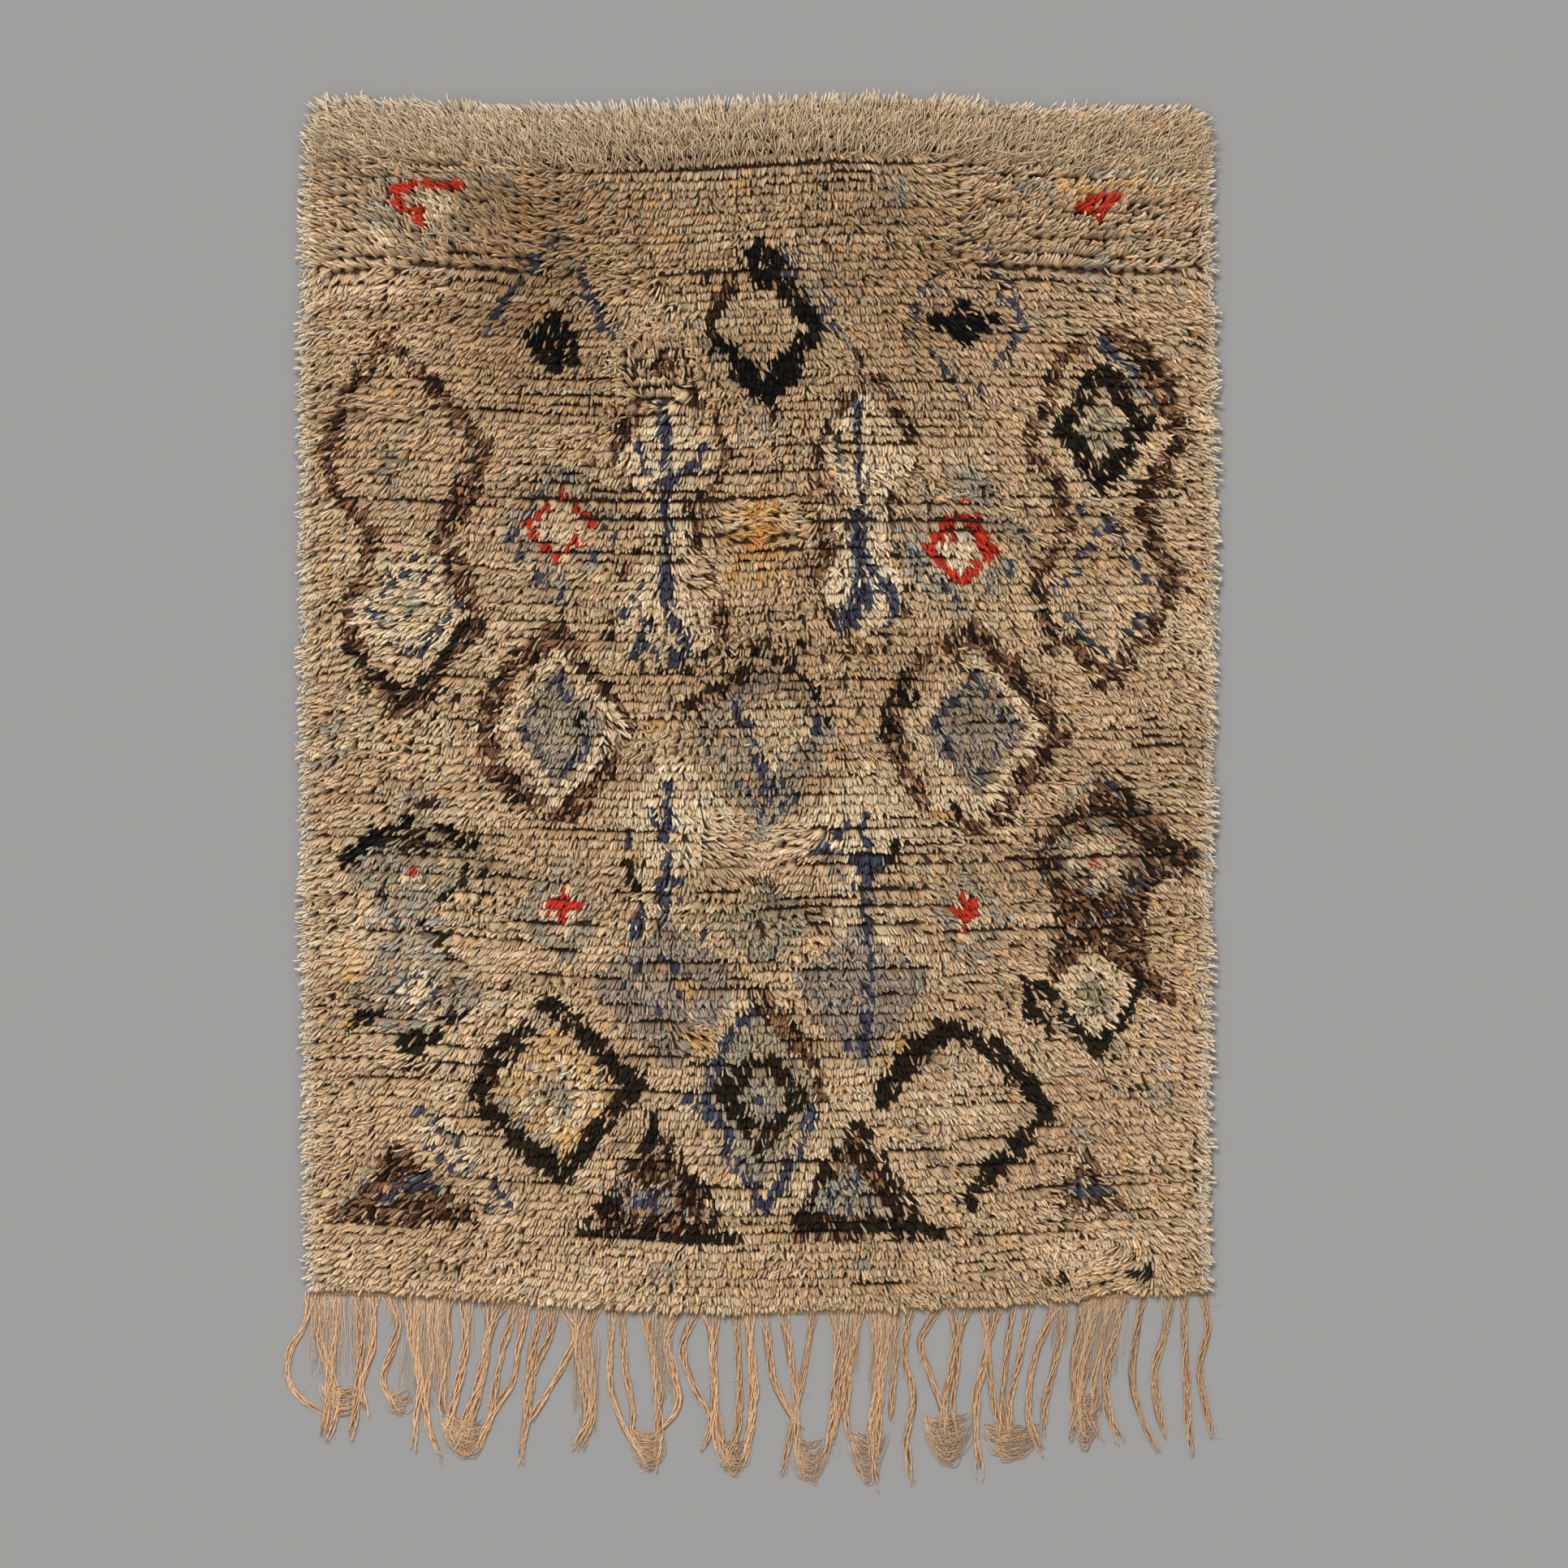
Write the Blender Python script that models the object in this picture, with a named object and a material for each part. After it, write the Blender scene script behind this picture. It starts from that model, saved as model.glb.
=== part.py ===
"""A hand-knotted wool-pile rug lying flat: the lumpy pile cloth, and the warp fringe at its lower end.

Metres, with X across the rug, Y along it towards the plain end and Z up. The rug rests on Z = 0,
and the origin is under the middle of its whole outline, fringe included.
"""

import math
from collections import namedtuple

import bmesh
import bpy
import numpy as np

# Thicknesses of the cloth: the pile lies over, so its crests stand well under its yarn's length.
PILE_HEIGHT = 0.0145
RIM_HEIGHT = 0.0060
RIM_WIDTH = 0.013
LUMP_HEIGHT = 0.0012
RIDGE_HEIGHT = 0.0016
PARTING_DEPTH = 0.0035
PARTING_REACH = 0.012

# Rows of knots: each ridge stands for two rows, and its two ends are locks at the rim.
RIDGES = 68
COLUMNS = 21
LOCK_REACH = 0.0045

# The cloth's two sides, a row for each station along Y.
Station = namedtuple("Station", "y left right")
SIDES = (
    Station(-0.84, -0.724, 0.752),
    Station(-0.76, -0.728, 0.753),
    Station(-0.40, -0.734, 0.754),
    Station(-0.10, -0.737, 0.757),
    Station(0.30, -0.738, 0.763),
    Station(0.80, -0.738, 0.763),
    Station(0.98, -0.735, 0.756),
    Station(1.09, -0.728, 0.749),
    Station(1.13, -0.716, 0.744),
)

# The two ends. The upper end waves a little, and the lower one sags in the middle.
TOP_Y = 1.131
TOP_WAVE = 0.009
TOP_WAVE_LENGTH = 0.90
TOP_WAVE_CREST_X = 0.20
BOTTOM_Y = -0.808
BOTTOM_SAG = 0.033
BOTTOM_SAG_X = 0.04
BOTTOM_SAG_REACH = 0.82

# Partings, where two neighbouring rows lie away from each other.
Parting = namedtuple("Parting", "y x_from x_to")
PARTINGS = (
    Parting(1.030, -0.74, 0.76),
    Parting(0.905, 0.30, 0.76),
    Parting(0.869, -0.74, 0.10),
    Parting(0.695, -0.70, 0.70),
    Parting(0.495, -0.74, 0.76),
    Parting(0.461, -0.30, 0.40),
    Parting(0.205, -0.74, 0.30),
    Parting(-0.049, -0.74, -0.10),
    Parting(-0.091, 0.10, 0.76),
)

# The fringe: a woven band along the lower end, parted from the pile cloth, and loose warp ends.
BAND_GAP = 0.0003
BAND_WIDTH = 0.009
BAND_HEIGHT = 0.0040
BAND_END_MARGIN = 0.006
STRAND_WIDTH = 0.0036
STRAND_HEIGHT = 0.0032
STRAND_TOP_SHARE = 0.62
STRAND_TIP_SHARE = 0.55
STRAND_SPACING = 0.0064
LEVEL_STEP = 0.044
WAIST_SPACING = 0.0066
TIP_SPACING = 0.0064
TIP_RAGGEDNESS = 0.014

# Warp ends cling together in gathers. Depths and lengths are measured from the band's front.
Gather = namedtuple("Gather", "root_from root_to strands waist_x waist_depth tip_x length")
GATHERS = (
    Gather(-0.716, -0.708, 1, -0.760, 0.115, -0.716, 0.215),
    Gather(-0.700, -0.664, 4, -0.690, 0.150, -0.703, 0.238),
    Gather(-0.652, -0.618, 4, -0.641, 0.150, -0.658, 0.228),
    Gather(-0.601, -0.588, 2, -0.602, 0.105, -0.604, 0.190),
    Gather(-0.563, -0.535, 3, -0.545, 0.135, -0.553, 0.240),
    Gather(-0.522, -0.489, 4, -0.509, 0.175, -0.504, 0.258),
    Gather(-0.474, -0.430, 4, -0.474, 0.185, -0.478, 0.240),
    Gather(-0.417, -0.357, 5, -0.438, 0.190, -0.446, 0.232),
    Gather(-0.346, -0.316, 4, -0.361, 0.165, -0.380, 0.262),
    Gather(-0.300, -0.249, 5, -0.267, 0.150, -0.285, 0.238),
    Gather(-0.227, -0.203, 3, -0.196, 0.195, -0.184, 0.232),
    Gather(-0.182, -0.117, 6, -0.147, 0.195, -0.152, 0.268),
    Gather(-0.098, -0.088, 2, -0.079, 0.165, -0.086, 0.238),
    Gather(-0.074, -0.050, 3, -0.061, 0.165, -0.050, 0.262),
    Gather(-0.030, -0.002, 2, -0.024, 0.160, -0.024, 0.252),
    Gather(0.020, 0.050, 3, 0.058, 0.140, 0.052, 0.268),
    Gather(0.084, 0.106, 3, 0.082, 0.140, 0.088, 0.262),
    Gather(0.134, 0.178, 5, 0.148, 0.160, 0.142, 0.246),
    Gather(0.194, 0.238, 5, 0.216, 0.155, 0.214, 0.290),
    Gather(0.256, 0.272, 2, 0.258, 0.130, 0.266, 0.280),
    Gather(0.290, 0.352, 5, 0.308, 0.170, 0.330, 0.242),
    Gather(0.366, 0.384, 3, 0.366, 0.150, 0.376, 0.276),
    Gather(0.407, 0.460, 4, 0.417, 0.175, 0.424, 0.250),
    Gather(0.480, 0.530, 4, 0.470, 0.175, 0.486, 0.240),
    Gather(0.545, 0.598, 5, 0.552, 0.150, 0.554, 0.230),
    Gather(0.616, 0.624, 1, 0.589, 0.130, 0.612, 0.228),
    Gather(0.642, 0.686, 4, 0.650, 0.150, 0.667, 0.236),
    Gather(0.710, 0.716, 1, 0.716, 0.140, 0.728, 0.256),
    Gather(0.732, 0.742, 2, 0.744, 0.120, 0.757, 0.228),
)

PILE_COLOUR = (0.46, 0.33, 0.20, 1.0)
FRINGE_COLOUR = (0.58, 0.40, 0.23, 1.0)
WOOL_ROUGHNESS = 0.95


def clear_scene():
    """Remove what a new file holds, so that only the rug is in it."""
    for obj in list(bpy.data.objects):
        bpy.data.objects.remove(obj, do_unlink=True)


def wool(name, colour):
    """A plain, matt wool material."""
    material = bpy.data.materials.new(name)
    material.use_nodes = True
    shader = material.node_tree.nodes["Principled BSDF"]
    shader.inputs["Base Color"].default_value = colour
    shader.inputs["Roughness"].default_value = WOOL_ROUGHNESS
    shader.inputs["Metallic"].default_value = 0.0
    return material


def add_object(name, bm, material, collection):
    """Turn a bmesh into a named object with outward faces."""
    bmesh.ops.recalc_face_normals(bm, faces=bm.faces[:])
    mesh = bpy.data.meshes.new(name)
    bm.to_mesh(mesh)
    bm.free()
    mesh.materials.append(material)
    obj = bpy.data.objects.new(name, mesh)
    collection.objects.link(obj)
    return obj


def side_x(y):
    """The cloth's left and right sides at a place along Y, straight between the stations."""
    stations = [station.y for station in SIDES]
    left = np.interp(y, stations, [station.left for station in SIDES])
    right = np.interp(y, stations, [station.right for station in SIDES])
    return left, right


def top_y(x):
    """The upper end: one long, low wave."""
    return TOP_Y + TOP_WAVE * np.cos(math.tau * (x - TOP_WAVE_CREST_X) / TOP_WAVE_LENGTH)


def bottom_y(x):
    """The lower end: a raised-cosine sag about the middle, level past its reach."""
    off = np.clip((x - BOTTOM_SAG_X) / BOTTOM_SAG_REACH, -1.0, 1.0)
    return BOTTOM_Y - BOTTOM_SAG * (0.5 + 0.5 * np.cos(math.pi * off))


def column_shares():
    """Shares across the width for the columns of points, with a narrow one at each rim."""
    width = SIDES[-2].right - SIDES[-2].left
    rim = RIM_WIDTH / width
    inner = np.linspace(rim, 1.0 - rim, COLUMNS - 2)
    return np.concatenate(([0.0], inner, [1.0]))


def ring_shares():
    """Shares along the length for the rings of points: a groove and a crest for each ridge."""
    length = TOP_Y - BOTTOM_Y
    rim = RIM_WIDTH / length
    inner = np.linspace(rim, 1.0 - rim, 2 * RIDGES - 1)
    return np.concatenate(([0.0], inner, [1.0]))


def pile_surface():
    """Points of the pile's face, as arrays indexed by ring and column.

    The outline comes from the sides and ends. The height is the pile's own, plus long lumps,
    plus a ridge on every odd ring, less a trough where a parting crosses, and it comes down to
    the rim on all four sides. The rim's crests reach out and its grooves draw back, as locks.
    """
    across, along = np.meshgrid(column_shares(), ring_shares())
    level_y = BOTTOM_Y + along * (TOP_Y - BOTTOM_Y)
    left, right = side_x(level_y)
    x = left + across * (right - left)
    low = bottom_y(x)
    y = low + along * (top_y(x) - low)

    ring = np.arange(along.shape[0])[:, None]
    column = np.arange(across.shape[1])[None, :]
    crest = np.where(ring % 2 == 1, 1.0, -1.0)
    lumps = (
        np.sin(7.1 * x + 3.0 * y + 0.4)
        + np.sin(4.3 * x - 9.7 * y + 1.9)
        + np.sin(13.0 * x + 6.1 * y + 2.2)
    ) / 3.0
    z = PILE_HEIGHT + LUMP_HEIGHT * lumps + RIDGE_HEIGHT * crest
    for parting in PARTINGS:
        beside = np.exp(-(((y - parting.y) / PARTING_REACH) ** 2))
        within = (x > parting.x_from) & (x < parting.x_to)
        z = z - PARTING_DEPTH * beside * within * (crest < 0.0)

    last_ring, last_column = ring[-1, 0], column[0, -1]
    at_side = (column == 0) | (column == last_column)
    at_end = (ring == 0) | (ring == last_ring)
    z = np.where(at_side | at_end, RIM_HEIGHT, z)
    outward = np.where(column == 0, -1.0, np.where(column == last_column, 1.0, 0.0))
    x = x + outward * crest * LOCK_REACH * (ring > 0) * (ring < last_ring)
    end_lock = np.where(column % 2 == 1, 1.0, -1.0)
    y = y + (ring == last_ring) * end_lock * LOCK_REACH
    return x, y, z


def build_pile(collection):
    """The pile cloth: its lumpy face over a flat underside, closed by an upright rim."""
    x, y, z = pile_surface()
    rings, columns = x.shape
    bm = bmesh.new()
    bmesh.ops.create_grid(bm, x_segments=columns - 1, y_segments=rings - 1, size=0.5)
    for vert in bm.verts:
        column = round((vert.co.x + 0.5) * (columns - 1))
        ring = round((vert.co.y + 0.5) * (rings - 1))
        vert.co = (x[ring, column], y[ring, column], z[ring, column])
    rim = [edge for edge in bm.edges if edge.is_boundary]
    wall = bmesh.ops.extrude_edge_only(bm, edges=rim)["geom"]
    for vert in (item for item in wall if isinstance(item, bmesh.types.BMVert)):
        vert.co.z = 0.0
    foot = [item for item in wall if isinstance(item, bmesh.types.BMEdge) and item.is_boundary]
    bmesh.ops.contextual_create(bm, geom=foot)
    return add_object("pile", bm, wool("pile_wool", PILE_COLOUR), collection)


def ease(share):
    """Smooth step from 0 to 1."""
    share = np.clip(share, 0.0, 1.0)
    return share * share * (3.0 - 2.0 * share)


def strand_routes(levels):
    """Each strand's X at each level below the band, and its length.

    Within a gather, a strand eases from its own root to its place at the waist, and from there
    to its place at the tip. At each level the strands then keep at least their spacing: the mean
    of the running greatest from the left and the running least from the right never falls, so
    it is a spaced order that moves each strand as little as it can.
    """
    routes = []
    lengths = []
    for gather in GATHERS:
        for number in range(gather.strands):
            share = (number + 0.5) / gather.strands
            from_middle = number - (gather.strands - 1) / 2.0
            root = gather.root_from + share * (gather.root_to - gather.root_from)
            waist = gather.waist_x + from_middle * WAIST_SPACING
            tip = gather.tip_x + from_middle * TIP_SPACING
            upper = ease(levels / gather.waist_depth)
            lower = ease((levels - gather.waist_depth) / (gather.length - gather.waist_depth))
            routes.append(root + (waist - root) * upper + (tip - waist) * lower)
            ragged = math.sin(2.4 * number + 5.0 * gather.tip_x)
            lengths.append(gather.length - TIP_RAGGEDNESS * abs(ragged))
    order = np.arange(len(routes))[:, None] * STRAND_SPACING
    slack = np.array(routes) - order
    from_left = np.maximum.accumulate(slack, axis=0)
    from_right = np.minimum.accumulate(slack[::-1], axis=0)[::-1]
    return 0.5 * (from_left + from_right) + order, lengths


def lay_section(face, x, y, share):
    """Put a strand's end face at its next place: a low section that is narrower at the top."""
    middle_x = sum(vert.co.x for vert in face.verts) / 4.0
    middle_z = sum(vert.co.z for vert in face.verts) / 4.0
    half = 0.5 * STRAND_WIDTH * share
    for vert in face.verts:
        side = 1.0 if vert.co.x > middle_x else -1.0
        upper = vert.co.z > middle_z
        reach = half * (STRAND_TOP_SHARE if upper else 1.0)
        vert.co = (x + side * reach, y, STRAND_HEIGHT * share if upper else 0.0)


def build_fringe(collection):
    """The woven band along the lower end, with each strand drawn out of the band's front."""
    longest = max(gather.length for gather in GATHERS)
    levels = np.arange(0.0, longest + LEVEL_STEP, LEVEL_STEP)
    routes, lengths = strand_routes(levels)
    roots = routes[:, 0]
    half = 0.5 * STRAND_WIDTH
    left, right = side_x(BOTTOM_Y)
    inner = np.column_stack((roots - half, roots + half)).ravel()
    stops = np.concatenate(([left + BAND_END_MARGIN], inner, [right - BAND_END_MARGIN]))
    pile_x, pile_y, _ = pile_surface()
    rear = np.interp(stops, pile_x[0], pile_y[0]) - BAND_GAP

    bm = bmesh.new()
    bmesh.ops.create_grid(bm, x_segments=len(stops) - 1, y_segments=1, size=0.5)
    for vert in bm.verts:
        stop = round((vert.co.x + 0.5) * (len(stops) - 1))
        front = vert.co.y < 0.0
        vert.co = (stops[stop], rear[stop] - (BAND_WIDTH if front else 0.0), 0.0)
    raised = bmesh.ops.extrude_face_region(bm, geom=bm.faces[:])["geom"]
    for vert in (item for item in raised if isinstance(item, bmesh.types.BMVert)):
        vert.co.z = BAND_HEIGHT
    bmesh.ops.recalc_face_normals(bm, faces=bm.faces[:])

    fronts = [face for face in bm.faces if face.normal.y < -0.9]
    fronts.sort(key=lambda face: face.calc_center_median().x)
    ends = fronts[1::2]
    front_y = [face.calc_center_median().y for face in ends]
    growing = list(range(len(ends)))
    for level in range(1, len(levels)):
        grown = bmesh.ops.extrude_discrete_faces(bm, faces=[ends[i] for i in growing])["faces"]
        grown.sort(key=lambda face: face.calc_center_median().x)
        for i, face in zip(growing, grown):
            ends[i] = face
            depth = min(levels[level], lengths[i])
            x = float(np.interp(depth, levels, routes[i]))
            done = depth >= lengths[i] - 1e-6
            share = STRAND_TIP_SHARE if done else 1.0
            lay_section(face, x, front_y[i] - depth, share)
        growing = [i for i in growing if levels[level] < lengths[i] - 1e-6]
    return add_object("fringe", bm, wool("fringe_yarn", FRINGE_COLOUR), collection)


def build():
    """Make the rug's two pieces in a collection of their own."""
    clear_scene()
    collection = bpy.data.collections.new("Pile rug")
    bpy.context.scene.collection.children.link(collection)
    build_pile(collection)
    build_fringe(collection)


build()
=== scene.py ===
"""A hand-knotted wool-pile rug lying flat: its ground weave, rows of cut knots and a fringe of warp ends.

Metres, with X across the rug, Y along it towards the plain end and Z up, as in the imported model.
"""

import math
from collections import namedtuple

import bpy
import numpy as np
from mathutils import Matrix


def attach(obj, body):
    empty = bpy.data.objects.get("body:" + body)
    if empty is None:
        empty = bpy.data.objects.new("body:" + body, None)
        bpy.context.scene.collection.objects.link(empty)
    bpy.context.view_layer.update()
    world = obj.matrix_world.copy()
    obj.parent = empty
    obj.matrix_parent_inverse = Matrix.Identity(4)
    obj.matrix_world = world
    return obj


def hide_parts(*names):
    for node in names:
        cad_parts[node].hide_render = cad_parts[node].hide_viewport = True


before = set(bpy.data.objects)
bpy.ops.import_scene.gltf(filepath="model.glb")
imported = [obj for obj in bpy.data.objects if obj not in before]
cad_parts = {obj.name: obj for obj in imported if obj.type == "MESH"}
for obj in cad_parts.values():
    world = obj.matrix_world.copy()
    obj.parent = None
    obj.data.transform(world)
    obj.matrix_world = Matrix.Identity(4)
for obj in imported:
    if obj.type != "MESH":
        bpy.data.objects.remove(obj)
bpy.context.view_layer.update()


# The ground weave: brown wool warp and weft, beaten down between the rows of knots. It is one flat
# cloth on the floor, about 3 mm thick, and shows only at the bottom of the open grooves.
Station = namedtuple("Station", "y left right")
SIDES = (
    Station(-0.84, -0.724, 0.752),
    Station(-0.76, -0.728, 0.753),
    Station(-0.40, -0.734, 0.754),
    Station(-0.10, -0.737, 0.757),
    Station(0.30, -0.738, 0.763),
    Station(0.80, -0.738, 0.763),
    Station(0.98, -0.735, 0.756),
    Station(1.09, -0.728, 0.749),
    Station(1.13, -0.716, 0.744),
)
TOP_Y = 1.131
TOP_WAVE = 0.009
TOP_WAVE_LENGTH = 0.90
TOP_WAVE_CREST_X = 0.20
RUG_HALF_WIDTH = 0.75
MIDDLE_X = 0.014
CORNER_FROM = 0.675
CORNER_REACH = 0.055
CORNER_DROP = 0.022
BOTTOM_Y = -0.808
BOTTOM_SAG = 0.033
BOTTOM_SAG_X = 0.04
BOTTOM_SAG_REACH = 0.82
GROUND_THICKNESS = 0.0032
GROUND_INSET = 0.009
GROUND_COLUMNS = 61
GROUND_ROWS = 79
GROUND_TUCK = 0.002
GROUND_BROWN = (92, 70, 50)
GROUND_DARK = (50, 36, 25)
WEFT_PITCH = 0.0048


def side_x(y):
    """The cloth's left and right sides at a place along Y, straight between the stations."""
    stations = [station.y for station in SIDES]
    left = np.interp(y, stations, [station.left for station in SIDES])
    right = np.interp(y, stations, [station.right for station in SIDES])
    return left, right


def top_y(x):
    """The upper end: one long, low wave that drops off at both corners, as a square does."""
    corner = np.clip((np.abs(x - MIDDLE_X) - CORNER_FROM) / CORNER_REACH, 0.0, 1.0)
    wave = TOP_WAVE * np.cos(math.tau * (x - TOP_WAVE_CREST_X) / TOP_WAVE_LENGTH)
    return TOP_Y + wave - CORNER_DROP * corner**2


def bottom_y(x):
    """The lower end: a raised-cosine sag about the middle, level past its reach."""
    off = np.clip((x - BOTTOM_SAG_X) / BOTTOM_SAG_REACH, -1.0, 1.0)
    return BOTTOM_Y - BOTTOM_SAG * (0.5 + 0.5 * np.cos(math.pi * off))


def linear(tone):
    """A tone of three numbers from 0 to 255, as seen, turned into the linear light a shader takes."""
    seen = np.asarray(tone, dtype=float) / 255.0
    return np.where(seen > 0.04045, ((seen + 0.055) / 1.055) ** 2.4, seen / 12.92)


class Signal:
    """A socket of a material's nodes that can be written in sums, each of which adds a Math node."""

    def __init__(self, tree, socket=None):
        self.tree = tree
        self.socket = socket

    def node(self, kind, settings=None, inputs=None, output=0):
        """Add a node: its settings first, then the values or links of its sockets. Returns one output."""
        made = self.tree.nodes.new("ShaderNode" + kind)
        for name, value in (settings or {}).items():
            setattr(made, name, value)
        for place, value in (inputs or {}).items():
            if isinstance(value, Signal):
                self.tree.links.new(value.socket, made.inputs[place])
            else:
                made.inputs[place].default_value = value
        return Signal(self.tree, made.outputs[output])

    def math(self, operation, first, second):
        """The Math node of one operation on two numbers or signals."""
        return self.node("Math", {"operation": operation}, {0: first, 1: second})

    def __add__(self, other):
        return self.math("ADD", self, other)

    def __radd__(self, other):
        return self.math("ADD", other, self)

    def __sub__(self, other):
        return self.math("SUBTRACT", self, other)

    def __rsub__(self, other):
        return self.math("SUBTRACT", other, self)

    def __mul__(self, other):
        return self.math("MULTIPLY", self, other)

    def __rmul__(self, other):
        return self.math("MULTIPLY", other, self)

    def colour_mix(self, first, second, blend="MIX"):
        """Two colours, with this signal as the share of the second."""
        settings = {"data_type": "RGBA", "blend_type": blend}
        return self.node("Mix", settings, {0: self, 6: first, 7: second}, output=2)

    def scaled(self, scale):
        """This vector, each part times its own number."""
        return self.node("VectorMath", {"operation": "MULTIPLY"}, {0: self, 1: scale})

    def noise(self, scale, detail=2.0):
        """Cloudy noise at this place, from 0 to 1."""
        settings = {"noise_dimensions": "3D"}
        return self.node("TexNoise", settings, {"Vector": self, "Scale": scale, "Detail": detail})


def wool_shader(material, sheen):
    """The material's own shader, set to dry wool with a faint sheen, and a signal to build on."""
    material.use_nodes = True
    tree = material.node_tree
    shader = tree.nodes["Principled BSDF"]
    shader.inputs["Metallic"].default_value = 0.0
    shader.inputs["Roughness"].default_value = 0.92
    shader.inputs["Specular IOR Level"].default_value = 0.12
    shader.inputs["Sheen Weight"].default_value = sheen
    shader.inputs["Sheen Roughness"].default_value = 0.55
    return shader, Signal(tree)


def connect(signal, shader, socket):
    """Feed one of the shader's sockets."""
    signal.tree.links.new(signal.socket, shader.inputs[socket])


def weave_material(name, light, dark, pitch, depth):
    """Plain weave: ribs across and along on object coordinates, a light and a dark tone, and bump."""
    material = bpy.data.materials.new(name)
    shader, start = wool_shader(material, 0.1)
    place = start.node("TexCoord", output="Object")
    rib = {"wave_type": "BANDS", "wave_profile": "SIN"}
    weft = start.node(
        "TexWave",
        dict(rib, bands_direction="Y"),
        {"Vector": place, "Scale": 0.314 / pitch, "Distortion": 1.2, "Detail": 2.0, "Detail Scale": 2.0},
        output="Fac",
    )
    warp = start.node(
        "TexWave",
        dict(rib, bands_direction="X"),
        {"Vector": place, "Scale": 0.314 / (1.3 * pitch), "Distortion": 1.2, "Detail": 2.0},
        output="Fac",
    )
    cloud = place.noise(60.0)
    level = 0.6 * weft + 0.4 * warp
    tone = level * 0.7 + cloud * 0.5
    light_tone = (*linear(light), 1.0)
    dark_tone = (*linear(dark), 1.0)
    connect(tone.colour_mix(dark_tone, light_tone), shader, "Base Color")
    bump = start.node("Bump", None, {"Strength": 0.8, "Distance": depth, "Height": level + 0.3 * cloud})
    connect(bump, shader, "Normal")
    return material


def add_slab(name, x, y, top, material):
    """A closed slab with a level underside: the top's grid of points, the same points on the floor,
    and a wall of faces round the rim."""
    rows, columns = x.shape
    number = np.arange(rows * columns).reshape(rows, columns)
    upper = np.stack((x, y, top), axis=-1).reshape(-1, 3)
    lower = upper * (1.0, 1.0, 0.0)
    quads = np.stack((number[:-1, :-1], number[:-1, 1:], number[1:, 1:], number[1:, :-1]), axis=-1)
    quads = quads.reshape(-1, 4)
    rim = np.concatenate((number[0, :-1], number[:-1, -1], number[-1, :0:-1], number[:0:-1, 0]))
    following = np.roll(rim, -1)
    below = rows * columns
    walls = np.stack((rim + below, following + below, following, rim), axis=-1)
    faces = np.concatenate((quads, quads[:, ::-1] + below, walls))
    mesh = bpy.data.meshes.new(name)
    mesh.from_pydata(np.concatenate((upper, lower)).tolist(), [], faces.tolist())
    mesh.materials.append(material)
    mesh.update()
    piece = bpy.data.objects.new(name, mesh)
    bpy.context.scene.collection.objects.link(piece)
    return piece


across, along = np.meshgrid(np.linspace(0.0, 1.0, GROUND_COLUMNS), np.linspace(0.0, 1.0, GROUND_ROWS))
level_y = BOTTOM_Y + along * (TOP_Y - BOTTOM_Y)
left, right = side_x(level_y)
ground_x = left + GROUND_INSET + across * (right - left - 2.0 * GROUND_INSET)
low = bottom_y(ground_x) + GROUND_TUCK
ground_y = low + along * (top_y(ground_x) - GROUND_INSET - low)
ground_z = GROUND_THICKNESS + 0.0004 * np.sin(23.0 * ground_x + 31.0 * ground_y)
ground_material = weave_material("ground_weave", GROUND_BROWN, GROUND_DARK, WEFT_PITCH, 0.0012)
ground = add_slab("ground_weave", ground_x, ground_y, ground_z, ground_material)
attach(ground, "root")
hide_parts("pile")


# The knots' places: hand-spun wool looped round pairs of warps in 137 rows, a little uneven as
# they were beaten down by hand. Each knot's cut ends show as three strands, side by side.
ROWS = 137
KNOTS = 134
SHARED = 3
YARNS = SHARED * KNOTS
ROW_INSET = 0.012
END_INSET = 0.012
ROW_WANDER = 0.0024
KNOT_JITTER = 0.0005
LATTICE_ROWS = 211
LATTICE_COLUMNS = 197
chance = np.random.default_rng(4117)


def drift(x, y, cell_x, cell_y, seed):
    """Soft noise from -1 to 1: random numbers on a lattice of cells, eased between in both directions."""
    lattice = np.random.default_rng(seed).uniform(-1.0, 1.0, (LATTICE_ROWS, LATTICE_COLUMNS))
    column = np.asarray(x) / cell_x + 61.3
    row = np.asarray(y) / cell_y + 53.7
    low_column = np.floor(column).astype(int)
    low_row = np.floor(row).astype(int)
    over = column - low_column
    up = row - low_row
    over = over * over * (3.0 - 2.0 * over)
    up = up * up * (3.0 - 2.0 * up)
    next_row = (low_row + 1) % LATTICE_ROWS
    next_column = (low_column + 1) % LATTICE_COLUMNS
    low_row = low_row % LATTICE_ROWS
    low_column = low_column % LATTICE_COLUMNS
    here = lattice[low_row, low_column]
    beside = lattice[low_row, next_column]
    above = lattice[next_row, low_column]
    across_above = lattice[next_row, next_column]
    lower = here + over * (beside - here)
    return lower + up * (above + over * (across_above - above) - lower)


row_number, yarn_number = np.meshgrid(np.arange(ROWS), np.arange(YARNS), indexing="ij")
row_share = row_number / (ROWS - 1)
yarn_share = (yarn_number + 0.5) / YARNS
left, right = side_x(BOTTOM_Y + row_share * (TOP_Y - BOTTOM_Y))
root_x = left + ROW_INSET + yarn_share * (right - left - 2.0 * ROW_INSET)
low = bottom_y(root_x) + END_INSET
root_y = low + row_share * (top_y(root_x) - END_INSET - low)
root_y = root_y + ROW_WANDER * drift(root_x, root_y, 0.17, 0.05, 11)
root_y = root_y + 0.4 * ROW_WANDER * drift(root_x, row_number, 0.06, 1.0, 12)
root_x = root_x + KNOT_JITTER * chance.normal(size=root_x.shape)
root_y = root_y + 1.6 * KNOT_JITTER * chance.normal(size=root_x.shape)


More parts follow.
